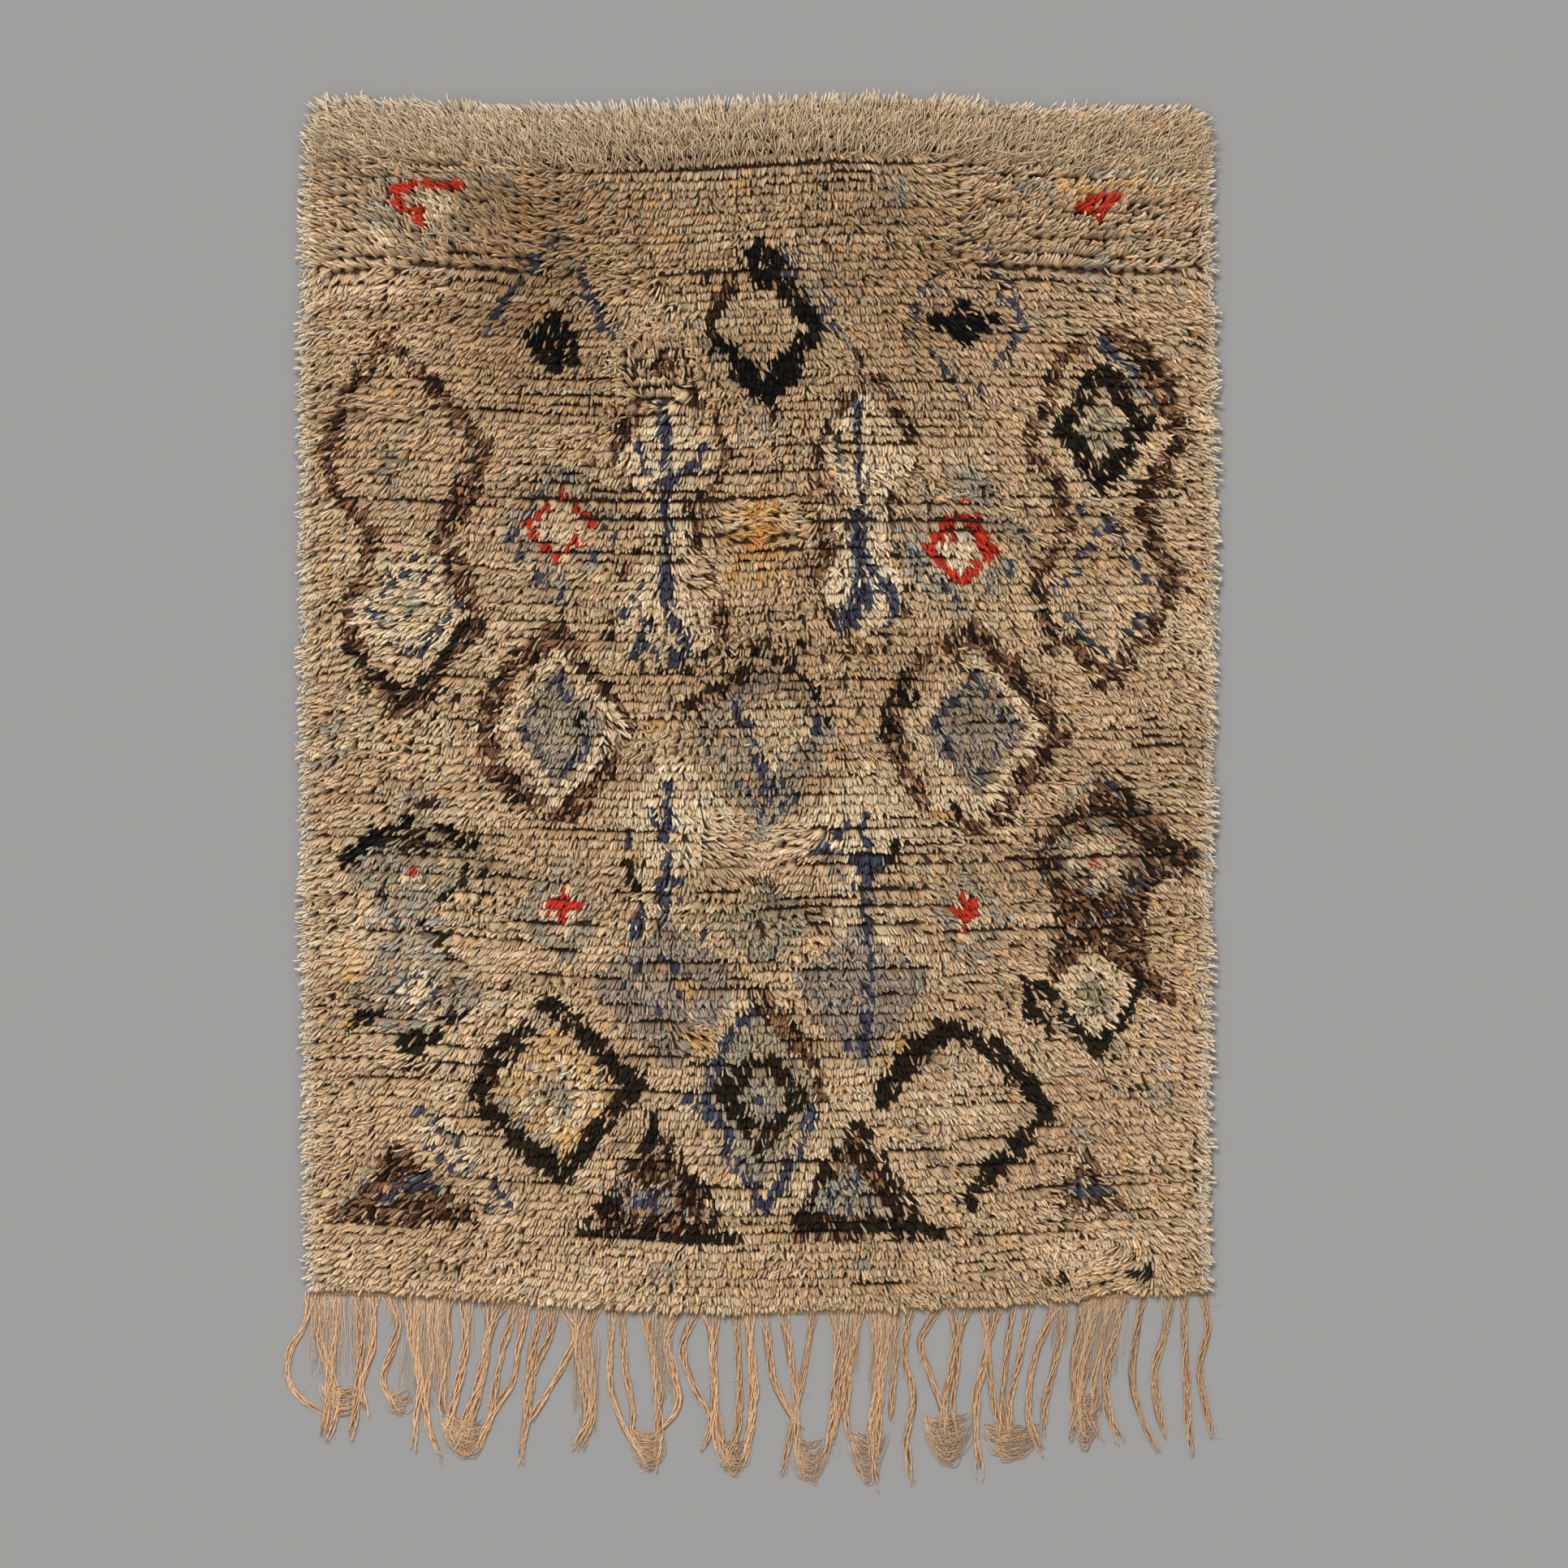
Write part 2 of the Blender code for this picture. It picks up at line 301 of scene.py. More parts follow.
# How the yarns lie: the pile was combed by use, down and outwards over most of the rug, and up and
# outwards at the plain end. Here and there it is ruffled, and some grooves between rows gape.
UPPER_PARTING_Y = 1.030
UPPER_PARTING_RISE = 0.030
LOWER_PARTING_Y = 0.869
OUTWARD_LEAN = 1.25
WIDE_SWAY = 0.22
SMALL_SWAY = 0.30
GAPE_STEEPNESS = 1.9
GAPE_CLOSED = 0.20
PARTED_SHIFT = 0.0064
Ruffle = namedtuple("Ruffle", "x y radius heading turn")
RUFFLES = (
    Ruffle(0.017, 0.402, 0.055, -90, 0.9),
    Ruffle(-0.027, 0.455, 0.035, 20, 0.7),
    Ruffle(0.067, 0.455, 0.035, 160, 0.7),
    Ruffle(-0.140, 0.706, 0.060, 90, 0.8),
    Ruffle(-0.087, 0.375, 0.050, -30, 0.6),
    Ruffle(-0.220, 0.135, 0.040, -60, 0.6),
    Ruffle(0.027, 0.215, 0.050, -90, 0.6),
    Ruffle(-0.033, -0.065, 0.060, -20, 0.6),
    Ruffle(0.087, -0.078, 0.060, -150, 0.6),
    Ruffle(-0.100, -0.385, 0.045, -40, 0.7),
    Ruffle(0.180, -0.091, 0.035, -100, 0.6),
    Ruffle(0.600, -0.791, 0.070, -170, 0.6),
    Ruffle(-0.220, 0.869, 0.050, -170, 0.5),
)
Parting = namedtuple("Parting", "y x_from x_to gape")
PARTINGS = (
    Parting(1.030, -0.72, -0.30, 0.7),
    Parting(1.047, -0.34, -0.12, 0.8),
    Parting(1.060, -0.14, 0.76, 0.9),
    Parting(0.947, 0.40, 0.74, 0.8),
    Parting(0.905, 0.30, 0.76, 0.9),
    Parting(0.869, -0.74, 0.10, 1.0),
    Parting(0.717, -0.56, -0.36, 0.7),
    Parting(0.692, -0.66, -0.18, 0.8),
    Parting(0.665, -0.52, -0.16, 0.8),
    Parting(0.644, -0.52, -0.14, 0.8),
    Parting(0.695, 0.10, 0.70, 0.6),
    Parting(0.495, -0.74, 0.76, 1.0),
    Parting(0.461, -0.30, 0.40, 1.0),
    Parting(0.205, -0.74, 0.30, 0.8),
    Parting(-0.049, -0.74, -0.10, 0.8),
    Parting(-0.091, 0.10, 0.76, 1.0),
    Parting(-0.210, 0.30, 0.50, 0.7),
)


def ease(share):
    """Smooth step from 0 to 1."""
    share = np.clip(share, 0.0, 1.0)
    return share * share * (3.0 - 2.0 * share)


def upper_parting(x):
    """Where the plain end begins: level at the left, then rising to a second level by the middle."""
    return UPPER_PARTING_Y + UPPER_PARTING_RISE * ease((x + 0.50) / 0.50)


def heading_at(x, y):
    """The direction in which the yarns' tips point, in radians, from two blended arrows.

    Outwards, it grows with the distance from the middle. Along the rug, it points down below the
    lower parting and up above the upper one, and between the two it turns up towards the sides.
    Each ruffle turns the arrow towards its own heading, less so away from its middle.
    """
    outward = OUTWARD_LEAN * (x - 0.01) / RUG_HALF_WIDTH
    turned_up = ease((np.abs(x) - 0.16) / 0.30)
    between = -1.0 + 1.7 * turned_up
    plain = y > upper_parting(x)
    downward = np.where(plain, 1.0, np.where(y > LOWER_PARTING_Y, between, -1.0))
    outward = np.where(plain, 1.05 * outward, outward)
    for ruffle in RUFFLES:
        near = np.exp(-((x - ruffle.x) ** 2 + (y - ruffle.y) ** 2) / ruffle.radius**2) * ruffle.turn
        angle = math.radians(ruffle.heading)
        outward = outward + near * 2.0 * (math.cos(angle) - outward)
        downward = downward + near * 2.0 * (math.sin(angle) - downward)
    return np.arctan2(downward, outward)


heading = heading_at(root_x, root_y)
heading = heading + WIDE_SWAY * drift(root_x, root_y, 0.11, 0.07, 21)
heading = heading + SMALL_SWAY * drift(root_x, root_y, 0.026, 0.018, 22)
unruly = 0.07 + 0.30 * ease(0.15 + 1.3 * drift(root_x, root_y, 0.09, 0.07, 23))
heading = heading + unruly * chance.normal(size=root_x.shape)

# The gape of the groove on the side of each row that its tips point to, from 0 to 1.
restless = 0.55 + 0.45 * drift(root_x, root_y, 0.45, 0.22, 31)
gape = 1.3 * drift(root_x, 7.0 * row_number, 0.14, 1.0, 32)
gape = gape + 0.7 * drift(root_x, 5.0 * row_number, 0.036, 1.0, 33)
gape = np.clip(GAPE_STEEPNESS * gape - GAPE_CLOSED, 0.0, 1.0) * restless
row_pitch = (TOP_Y - BOTTOM_Y) / ROWS
upwards = np.sin(heading)
for parting in PARTINGS:
    groove_y = root_y + np.sign(upwards) * row_pitch / 2.0
    beside = np.exp(-(((groove_y - parting.y) / (0.55 * row_pitch)) ** 2))
    within = ease((root_x - parting.x_from) / 0.03) * ease((parting.x_to - root_x) / 0.03)
    gape = np.maximum(gape, parting.gape * beside * within)

# The groove behind a yarn is the one that the next row's tips point to. Where two rows lie away from
# each other instead, their yarns stand closer together, so that little of the ground shows.
gape_behind = np.where(upwards < 0.0, np.roll(gape, -1, axis=0), np.roll(gape, 1, axis=0))
above = np.vstack((upwards[1:], upwards[-1:]))
below = np.vstack((upwards[:1], upwards[:-1]))
parted_above = np.sqrt(np.clip(-upwards, 0.0, 1.0) * np.clip(above, 0.0, 1.0))
parted_below = np.sqrt(np.clip(upwards, 0.0, 1.0) * np.clip(-below, 0.0, 1.0))
gape_behind = gape_behind * (1.0 - parted_above) * (1.0 - parted_below)
root_y = root_y + PARTED_SHIFT * (parted_above - parted_below)


# The pattern: a traditional one of lozenges, trees and triangles, knotted row by row in dyed and
# undyed wool. The wools' tones are as seen in the light, and the marks are set knot by knot.
Wool = namedtuple("Wool", "tone unevenness fleck fleck_share")
WOOLS = {
    "sand": Wool((224, 192, 152), 0.15, "sand", 0.0),
    "pale": Wool((238, 210, 172), 0.15, "sand", 0.15),
    "taupe": Wool((202, 172, 138), 0.16, "sand", 0.25),
    "gold": Wool((230, 186, 122), 0.16, "sand", 0.25),
    "cream": Wool((252, 228, 190), 0.13, "pale", 0.20),
    "brown": Wool((148, 109, 79), 0.34, "umber", 0.38),
    "umber": Wool((54, 35, 21), 0.28, "brown", 0.25),
    "black": Wool((13, 8, 5), 0.40, "bottle", 0.34),
    "bottle": Wool((37, 34, 22), 0.34, "umber", 0.45),
    "navy": Wool((78, 80, 98), 0.28, "slate", 0.18),
    "slate": Wool((184, 174, 154), 0.18, "taupe", 0.35),
    "sage": Wool((188, 172, 140), 0.16, "slate", 0.20),
    "plum": Wool((176, 156, 140), 0.18, "slate", 0.35),
    "red": Wool((216, 64, 42), 0.10, "red", 0.0),
    "orange": Wool((230, 156, 84), 0.12, "gold", 0.20),
}
NAMES = list(WOOLS)
SETTING_OUT = 0.004
STITCH_STEP = 0.024
SEEN_ALONG = 0.008
LOZENGE_POWER = 1.12

# A yarn is seen a little way along its lean from its root, so that is where its mark is looked up.
seen_x = root_x + SEEN_ALONG * np.cos(heading)
seen_y = root_y + SEEN_ALONG * np.sin(heading)
off_line_x = drift(seen_x, seen_y, 0.05, 0.04, 41) + 0.8 * drift(seen_x, seen_y, 0.02, 0.016, 43)
off_line_y = drift(seen_x, seen_y, 0.06, 0.05, 42) + 0.8 * drift(seen_x, seen_y, 0.02, 0.016, 44)
drawn_x = seen_x + SETTING_OUT * off_line_x
drawn_y = seen_y + SETTING_OUT * off_line_y
knot_chance = np.repeat(chance.uniform(size=(ROWS, KNOTS)), SHARED, axis=1)
dye = np.zeros(root_x.shape, dtype=int)


def knot_in(wool, odds, loose=0.0):
    """Tie knots of one wool where the odds beat each knot's chance, mixed with each yarn's own chance."""
    own = chance.uniform(size=root_x.shape)
    drawn = np.roll(knot_chance, SHARED * NAMES.index(wool), axis=1) * (1.0 - loose) + own * loose
    dye[drawn < odds] = NAMES.index(wool)


def rim_distance(x, y, left, right, up, down):
    """Distance outside a lozenge's rim, in metres: each offset over its own reach, summed as powers
    that bow the sides out a little, less one."""
    off_x = drawn_x - x
    off_y = drawn_y - y
    reach_x = np.where(off_x < 0.0, left, right)
    reach_y = np.where(off_y < 0.0, down, up)
    total = (np.abs(off_x) / reach_x) ** LOZENGE_POWER + (np.abs(off_y) / reach_y) ** LOZENGE_POWER
    return (total ** (1.0 / LOZENGE_POWER) - 1.0) / np.hypot(1.0 / reach_x, 1.0 / reach_y)


def inside(distance, soft_edge=0.011):
    """From 1 where a distance to an edge is negative to 0 where it is positive, across a soft edge."""
    return ease(0.5 - distance / soft_edge)


def ring(wool, x, y, left, right, up, down, band, share):
    """A lozenge's outline, of a band's width."""
    beyond_band = np.abs(rim_distance(x, y, left, right, up, down)) - band / 2.0
    knot_in(wool, share * inside(beyond_band), 0.4)


def fill(wool, x, y, left, right, up, down, share=1.0):
    """The inside of a lozenge."""
    knot_in(wool, share * inside(rim_distance(x, y, left, right, up, down)), 0.4)


def haze(wool, x, y, half_x, half_y, share):
    """A patch with no edge: the odds fall from its middle outwards."""
    measure = np.hypot((drawn_x - x) / half_x, (drawn_y - y) / half_y)
    knot_in(wool, share * np.clip(1.45 - measure, 0.0, 1.0), 0.5)


def line(wool, width, points, share=1.0):
    """A broken line through points, given as X and Y in turn."""
    route = np.reshape(points, (-1, 2))
    near = np.full(root_x.shape, 9.0)
    for start, end in zip(route[:-1], route[1:]):
        run = end - start
        along_run = ((drawn_x - start[0]) * run[0] + (drawn_y - start[1]) * run[1]) / (run @ run)
        along_run = np.clip(along_run, 0.0, 1.0)
        gap = np.hypot(drawn_x - start[0] - along_run * run[0], drawn_y - start[1] - along_run * run[1])
        near = np.minimum(near, gap)
    knot_in(wool, share * inside(near - width / 2.0, 0.008), 0.35)


def dots(wool, size, places, share=1.0):
    """Single knots of one wool at places, given as X and Y in turn."""
    near = np.full(root_x.shape, 9.0)
    for x, y in np.reshape(places, (-1, 2)):
        near = np.minimum(near, np.hypot(drawn_x - x, drawn_y - y))
    knot_in(wool, share * inside(near - size / 2.0, 0.004))


def stitches(wool, size, points, share=1.0):
    """Single knots at even steps along a line through points, given as X and Y in turn."""
    route = np.reshape(points, (-1, 2))
    lengths = np.concatenate(([0.0], np.cumsum(np.hypot(*np.diff(route, axis=0).T))))
    stops = np.arange(0.0, lengths[-1] + 0.25 * STITCH_STEP, STITCH_STEP)
    places_x = np.interp(stops, lengths, route[:, 0])
    places_y = np.interp(stops, lengths, route[:, 1])
    dots(wool, size, np.stack((places_x, places_y), axis=1), share)


def corners(x, y, left, right, up, down):
    """A lozenge's corners in turn, from its top round to its top again, as X and Y in turn."""
    return (x, y + up, x - left, y, x, y - down, x + right, y, x, y + up)


# The undyed field: sand wool with paler, greyer and golden lengths, in streaks along the rows.
streak = drift(root_x, row_number, 0.22, 2.0, 51) + 0.6 * drift(root_x, root_y, 0.30, 0.20, 52)
knot_in("pale", np.clip(0.30 + 0.45 * streak, 0.02, 0.9), 0.8)
taupe_odds = np.clip(0.12 - 0.4 * streak + 0.6 * ease((root_y - 0.60) / 0.5), 0.04, 0.75)
knot_in("taupe", taupe_odds, 0.8)
gold_odds = np.clip(0.30 * drift(root_x, root_y, 0.11, 0.09, 53) - 0.06, 0.0, 0.5)
knot_in("gold", gold_odds, 0.3)
knot_in("slate", np.clip(0.16 * drift(root_x, root_y, 0.13, 0.10, 54) - 0.08, 0.0, 0.5), 0.8)

# The register under the plain end: a red hook at the left and a red T at the right, on soft haze.
haze("slate", -0.513, 1.082, 0.037, 0.019, 0.30)
line("slate", 0.020, (-0.633, 1.007, -0.487, 1.010, -0.387, 1.007), 0.60)
haze("slate", -0.607, 0.957, 0.037, 0.032, 0.70)
haze("slate", -0.428, 0.989, 0.048, 0.024, 0.60)
haze("slate", -0.484, 0.930, 0.040, 0.024, 0.55)
haze("slate", -0.527, 0.903, 0.037, 0.029, 0.60)
haze("slate", -0.533, 0.866, 0.027, 0.016, 0.50)
haze("cream", -0.596, 0.906, 0.029, 0.019, 0.70)
haze("gold", -0.627, 0.975, 0.029, 0.024, 0.40)
haze("gold", -0.353, 0.942, 0.032, 0.029, 0.35)
haze("pale", -0.420, 1.035, 0.120, 0.016, 0.60)
fill("cream", -0.519, 0.959, 0.035, 0.048, 0.027, 0.027)
line("red", 0.013, (-0.577, 0.993, -0.473, 0.995))
line("red", 0.013, (-0.576, 0.986, -0.563, 0.962))
line("red", 0.017, (-0.539, 0.954, -0.539, 0.943))
haze("gold", -0.013, 0.995, 0.027, 0.037, 0.50)
haze("slate", 0.000, 0.922, 0.024, 0.037, 0.35)
haze("gold", 0.080, 0.994, 0.019, 0.032, 0.35)
haze("slate", 0.113, 1.005, 0.029, 0.032, 0.50)
haze("umber", 0.124, 1.009, 0.021, 0.019, 0.30)
haze("slate", 0.244, 0.999, 0.032, 0.027, 0.55)
haze("slate", 0.217, 0.959, 0.024, 0.019, 0.35)
haze("gold", -0.167, 0.970, 0.059, 0.021, 0.40)
haze("slate", -0.193, 0.954, 0.027, 0.021, 0.35)
haze("slate", -0.113, 0.941, 0.021, 0.024, 0.25)
haze("slate", 0.567, 1.082, 0.035, 0.019, 0.35)
line("slate", 0.021, (0.527, 1.026, 0.687, 1.018), 0.55)
haze("slate", 0.649, 0.986, 0.027, 0.040, 0.55)
haze("slate", 0.468, 0.994, 0.035, 0.029, 0.60)
line("gold", 0.024, (0.505, 1.002, 0.628, 1.002), 0.80)
haze("gold", 0.660, 0.975, 0.024, 0.016, 0.45)
haze("gold", 0.569, 0.927, 0.019, 0.032, 0.55)
haze("slate", 0.612, 0.922, 0.035, 0.021, 0.45)
haze("slate", 0.561, 0.861, 0.033, 0.037, 0.55)
haze("slate", 0.687, 0.866, 0.019, 0.059, 0.40)
haze("gold", 0.463, 0.849, 0.019, 0.035, 0.30)
line("red", 0.016, (0.536, 0.970, 0.592, 0.973))
line("red", 0.017, (0.572, 0.967, 0.571, 0.949))

# The next register: a dark lozenge in the middle, between two black spots in blue dotted arches.
haze("slate", -0.289, 0.893, 0.032, 0.024, 0.45)
haze("slate", -0.380, 0.842, 0.045, 0.059, 0.30)
stitches("navy", 0.020, (-0.423, 0.773, -0.393, 0.829, -0.351, 0.866, -0.311, 0.922), 0.95)
stitches("navy", 0.020, (-0.271, 0.869, -0.255, 0.821, -0.231, 0.778, -0.200, 0.759), 0.95)
haze("umber", -0.313, 0.810, 0.040, 0.021, 0.35)
fill("black", -0.321, 0.753, 0.051, 0.053, 0.056, 0.059, 0.97)
haze("black", -0.305, 0.738, 0.037, 0.032, 0.70)
haze("slate", -0.119, 0.783, 0.029, 0.029, 0.35)
haze("gold", -0.124, 0.813, 0.016, 0.021, 0.30)
haze("umber", -0.076, 0.853, 0.024, 0.011, 0.50)
haze("slate", -0.084, 0.773, 0.035, 0.040, 0.45)
line("gold", 0.012, (-0.043, 0.858, -0.060, 0.831, -0.071, 0.794), 0.70)
haze("slate", 0.105, 0.839, 0.040, 0.056, 0.60)
haze("navy", 0.067, 0.866, 0.035, 0.035, 0.50)
haze("navy", 0.116, 0.791, 0.027, 0.035, 0.50)
haze("slate", 0.143, 0.759, 0.027, 0.016, 0.40)
haze("slate", -0.041, 0.733, 0.035, 0.027, 0.55)
line("umber", 0.020, (-0.025, 0.847, -0.055, 0.818, -0.068, 0.778, -0.057, 0.743), 0.85)
fill("black", 0.017, 0.879, 0.040, 0.048, 0.043, 0.048, 0.92)
line("black", 0.045, (0.049, 0.831, 0.087, 0.791, 0.084, 0.743, 0.055, 0.714), 0.88)
haze("brown", 0.079, 0.797, 0.027, 0.040, 0.30)
fill("black", 0.031, 0.701, 0.077, 0.064, 0.040, 0.059, 0.92)
line("black", 0.020, (-0.055, 0.743, 0.001, 0.709), 0.85)
line("umber", 0.012, (0.031, 0.642, 0.033, 0.605), 0.75)
haze("slate", 0.007, 0.622, 0.048, 0.035, 0.40)
haze("navy", 0.012, 0.661, 0.040, 0.013, 0.30)
fill("pale", 0.021, 0.775, 0.061, 0.069, 0.067, 0.067, 0.97)
haze("taupe", 0.013, 0.782, 0.040, 0.040, 0.35)
haze("plum", 0.353, 0.802, 0.083, 0.075, 0.30)
stitches("navy", 0.016, (0.255, 0.762, 0.276, 0.834, 0.340, 0.927), 0.80)
line("navy", 0.013, (0.372, 0.893, 0.404, 0.855, 0.431, 0.802, 0.431, 0.759, 0.393, 0.706), 0.70)
stitches("navy", 0.015, (0.292, 0.738, 0.321, 0.698, 0.361, 0.653), 0.80)
dots("navy", 0.015, (0.340, 0.951, 0.373, 0.671), 0.70)
line("black", 0.029, (0.295, 0.783, 0.383, 0.785), 0.90)
fill("black", 0.348, 0.782, 0.036, 0.033, 0.043, 0.043, 0.95)
haze("gold", 0.188, 0.773, 0.019, 0.029, 0.45)

# The big brown lozenges down the left side: an open one, one with a blue dotted ring on cream, and
# under them a grey one and a little flower.
haze("slate", -0.593, 0.559, 0.040, 0.064, 0.55)
haze("slate", -0.577, 0.482, 0.021, 0.024, 0.35)
haze("gold", -0.527, 0.555, 0.032, 0.024, 0.30)
line(
    "brown", 0.025, (-0.587, 0.759, -0.647, 0.679, -0.687, 0.575, -0.673, 0.502, -0.617, 0.439, -0.623,
    0.389, -0.660, 0.315), 0.78,
)
line("brown", 0.028, (-0.660, 0.315, -0.639, 0.226, -0.567, 0.151), 0.80)
line("brown", 0.025, (-0.587, 0.759, -0.527, 0.687, -0.479, 0.626, -0.436, 0.578), 0.80)
line("brown", 0.039, (-0.436, 0.578, -0.476, 0.482, -0.503, 0.429, -0.468, 0.367, -0.444, 0.295), 0.78)
line("brown", 0.028, (-0.444, 0.285, -0.492, 0.226, -0.559, 0.154), 0.80)
haze("brown", -0.407, 0.293, 0.045, 0.027, 0.35)
haze("umber", -0.460, 0.562, 0.027, 0.032, 0.30)
haze("umber", -0.560, 0.173, 0.080, 0.029, 0.60)
fill("cream", -0.551, 0.293, 0.099, 0.096, 0.104, 0.112, 0.94)
fill("cream", -0.551, 0.375, 0.059, 0.059, 0.024, 0.053, 0.90)
line("bottle", 0.017, (-0.657, 0.255, -0.607, 0.197, -0.559, 0.175), 0.75)
line("bottle", 0.017, (-0.460, 0.309, -0.487, 0.242, -0.540, 0.186), 0.75)
stitches("navy", 0.017, corners(-0.548, 0.309, 0.067, 0.072, 0.083, 0.075), 0.92)
line("navy", 0.013, (-0.609, 0.357, -0.591, 0.365), 0.60)
haze("sage", -0.559, 0.317, 0.035, 0.024, 0.65)
dots("umber", 0.011, (-0.567, 0.293, -0.547, 0.293), 0.60)
haze("brown", -0.553, 0.127, 0.032, 0.016, 0.40)
haze("slate", -0.665, 0.127, 0.040, 0.035, 0.55)
haze("slate", -0.679, 0.066, 0.035, 0.032, 0.40)
haze("gold", -0.567, 0.101, 0.037, 0.019, 0.45)
haze("cream", -0.492, 0.103, 0.043, 0.029, 0.55)
line("brown", 0.012, (-0.480, 0.109, -0.460, 0.113), 0.55)
haze("slate", -0.547, 0.002, 0.061, 0.032, 0.65)
line("bottle", 0.012, (-0.561, 0.005, -0.503, -0.006), 0.85)
fill("sage", -0.547, -0.107, 0.117, 0.131, 0.093, 0.085, 0.80)
haze("slate", -0.620, -0.118, 0.053, 0.040, 0.50)
haze("umber", -0.533, -0.070, 0.085, 0.024, 0.60)
line("black", 0.020, (-0.657, -0.099, -0.612, -0.065, -0.556, -0.038), 0.80)
line("black", 0.021, (-0.503, -0.043, -0.455, -0.083), 0.88)
haze("plum", -0.567, -0.107, 0.061, 0.032, 0.55)
haze("cream", -0.551, -0.129, 0.040, 0.029, 0.45)
dots("red", 0.015, (-0.553, -0.113))
line("bottle", 0.017, (-0.460, -0.113, -0.508, -0.169), 0.80)
haze("brown", -0.433, -0.110, 0.019, 0.016, 0.55)
haze("brown", -0.441, -0.174, 0.016, 0.021, 0.45)
fill("slate", -0.567, -0.211, 0.064, 0.083, 0.080, 0.080, 0.62)
stitches("navy", 0.016, (-0.609, -0.153, -0.567, -0.201, -0.615, -0.294), 0.90)
stitches("bottle", 0.017, (-0.537, -0.195, -0.473, -0.273), 0.85)
fill("slate", -0.545, -0.321, 0.117, 0.120, 0.101, 0.093, 0.78)
haze("sage", -0.547, -0.291, 0.080, 0.053, 0.35)
haze("brown", -0.641, -0.294, 0.021, 0.013, 0.50)
haze("brown", -0.631, -0.318, 0.013, 0.011, 0.50)
fill("cream", -0.539, -0.311, 0.035, 0.037, 0.040, 0.040, 0.95)
stitches("navy", 0.016, corners(-0.539, -0.313, 0.033, 0.035, 0.033, 0.035), 0.92)
line("bottle", 0.023, (-0.652, -0.366, -0.609, -0.355), 0.92)
fill("bottle", -0.543, -0.399, 0.037, 0.040, 0.024, 0.019, 0.92)
line("bottle", 0.021, (-0.512, -0.385, -0.480, -0.350), 0.92)
haze("slate", -0.604, -0.401, 0.040, 0.019, 0.45)
haze("brown", -0.487, -0.307, 0.011, 0.019, 0.55)
haze("brown", -0.404, -0.313, 0.016, 0.013, 0.50)
haze("brown", -0.444, -0.387, 0.011, 0.012, 0.60)
haze("umber", -0.540, -0.435, 0.080, 0.011, 0.45)
haze("brown", -0.532, -0.458, 0.019, 0.011, 0.65)
haze("cream", -0.500, -0.478, 0.045, 0.032, 0.55)
haze("gold", -0.652, -0.265, 0.016, 0.029, 0.50)
haze("gold", -0.657, -0.369, 0.021, 0.013, 0.45)
haze("gold", -0.444, -0.225, 0.019, 0.035, 0.45)
haze("gold", -0.423, -0.158, 0.019, 0.027, 0.35)

# The red dotted lozenge at the left and the red-edged one at the right, each on blue-grey.
haze("slate", -0.313, 0.529, 0.051, 0.032, 0.55)
ring("slate", -0.311, 0.445, 0.083, 0.088, 0.083, 0.083, 0.035, 0.55)
haze("slate", -0.313, 0.354, 0.032, 0.037, 0.70)
stitches("navy", 0.015, corners(-0.311, 0.429, 0.085, 0.088, 0.104, 0.107), 0.65)
fill("pale", -0.311, 0.447, 0.061, 0.061, 0.059, 0.061, 0.90)
stitches("red", 0.017, corners(-0.313, 0.447, 0.057, 0.056, 0.049, 0.049))
ring("slate", 0.345, 0.422, 0.096, 0.093, 0.101, 0.107, 0.040, 0.62)
haze("slate", 0.345, 0.519, 0.045, 0.021, 0.45)
haze("slate", 0.417, 0.455, 0.035, 0.045, 0.50)
stitches("navy", 0.015, (0.255, 0.418, 0.340, 0.317, 0.423, 0.383), 0.80)
fill("cream", 0.341, 0.414, 0.059, 0.059, 0.053, 0.059)
line("cream", 0.021, (0.348, 0.442, 0.348, 0.466), 0.80)
ring("red", 0.341, 0.413, 0.051, 0.051, 0.051, 0.051, 0.015, 1.0)
line("red", 0.015, (0.327, 0.463, 0.325, 0.439))
line("red", 0.015, (0.371, 0.463, 0.371, 0.431))
dots("red", 0.013, (0.340, 0.491))

# The two upper trees: a blue stem with arms on a cream field, in a soft brown outline.
haze("brown", -0.135, 0.703, 0.045, 0.037, 0.50)
line("brown", 0.021, (-0.143, 0.711, -0.193, 0.642, -0.223, 0.567, -0.191, 0.503), 0.65)
line("brown", 0.020, (-0.119, 0.706, -0.071, 0.650, -0.031, 0.562), 0.65)
line("brown", 0.020, (-0.031, 0.562, -0.081, 0.479, -0.097, 0.407), 0.70)
line("brown", 0.028, (-0.079, 0.402, -0.055, 0.335, -0.044, 0.274), 0.60)
line("brown", 0.021, (-0.185, 0.501, -0.180, 0.418, -0.217, 0.338, -0.223, 0.261), 0.55)
haze("umber", -0.100, 0.455, 0.019, 0.032, 0.40)
line("brown", 0.019, (-0.047, 0.261, -0.100, 0.213, -0.153, 0.199, -0.193, 0.226), 0.55)
fill("cream", -0.137, 0.559, 0.080, 0.083, 0.101, 0.104, 0.96)
line("cream", 0.075, (-0.137, 0.455, -0.137, 0.375), 0.90)
fill("cream", -0.145, 0.306, 0.077, 0.069, 0.101, 0.075, 0.94)
line("cream", 0.080, (-0.180, 0.282, -0.100, 0.282), 0.85)
line("navy", 0.015, (-0.137, 0.639, -0.133, 0.519, -0.140, 0.397, -0.135, 0.319), 0.95)
line("navy", 0.013, (-0.184, 0.581, -0.179, 0.554, -0.163, 0.535), 0.80)
line("navy", 0.013, (-0.076, 0.575, -0.089, 0.549, -0.116, 0.527), 0.80)
line("navy", 0.013, (-0.151, 0.525, -0.116, 0.525), 0.80)
line("navy", 0.015, (-0.171, 0.359, -0.188, 0.327, -0.213, 0.301), 0.80)
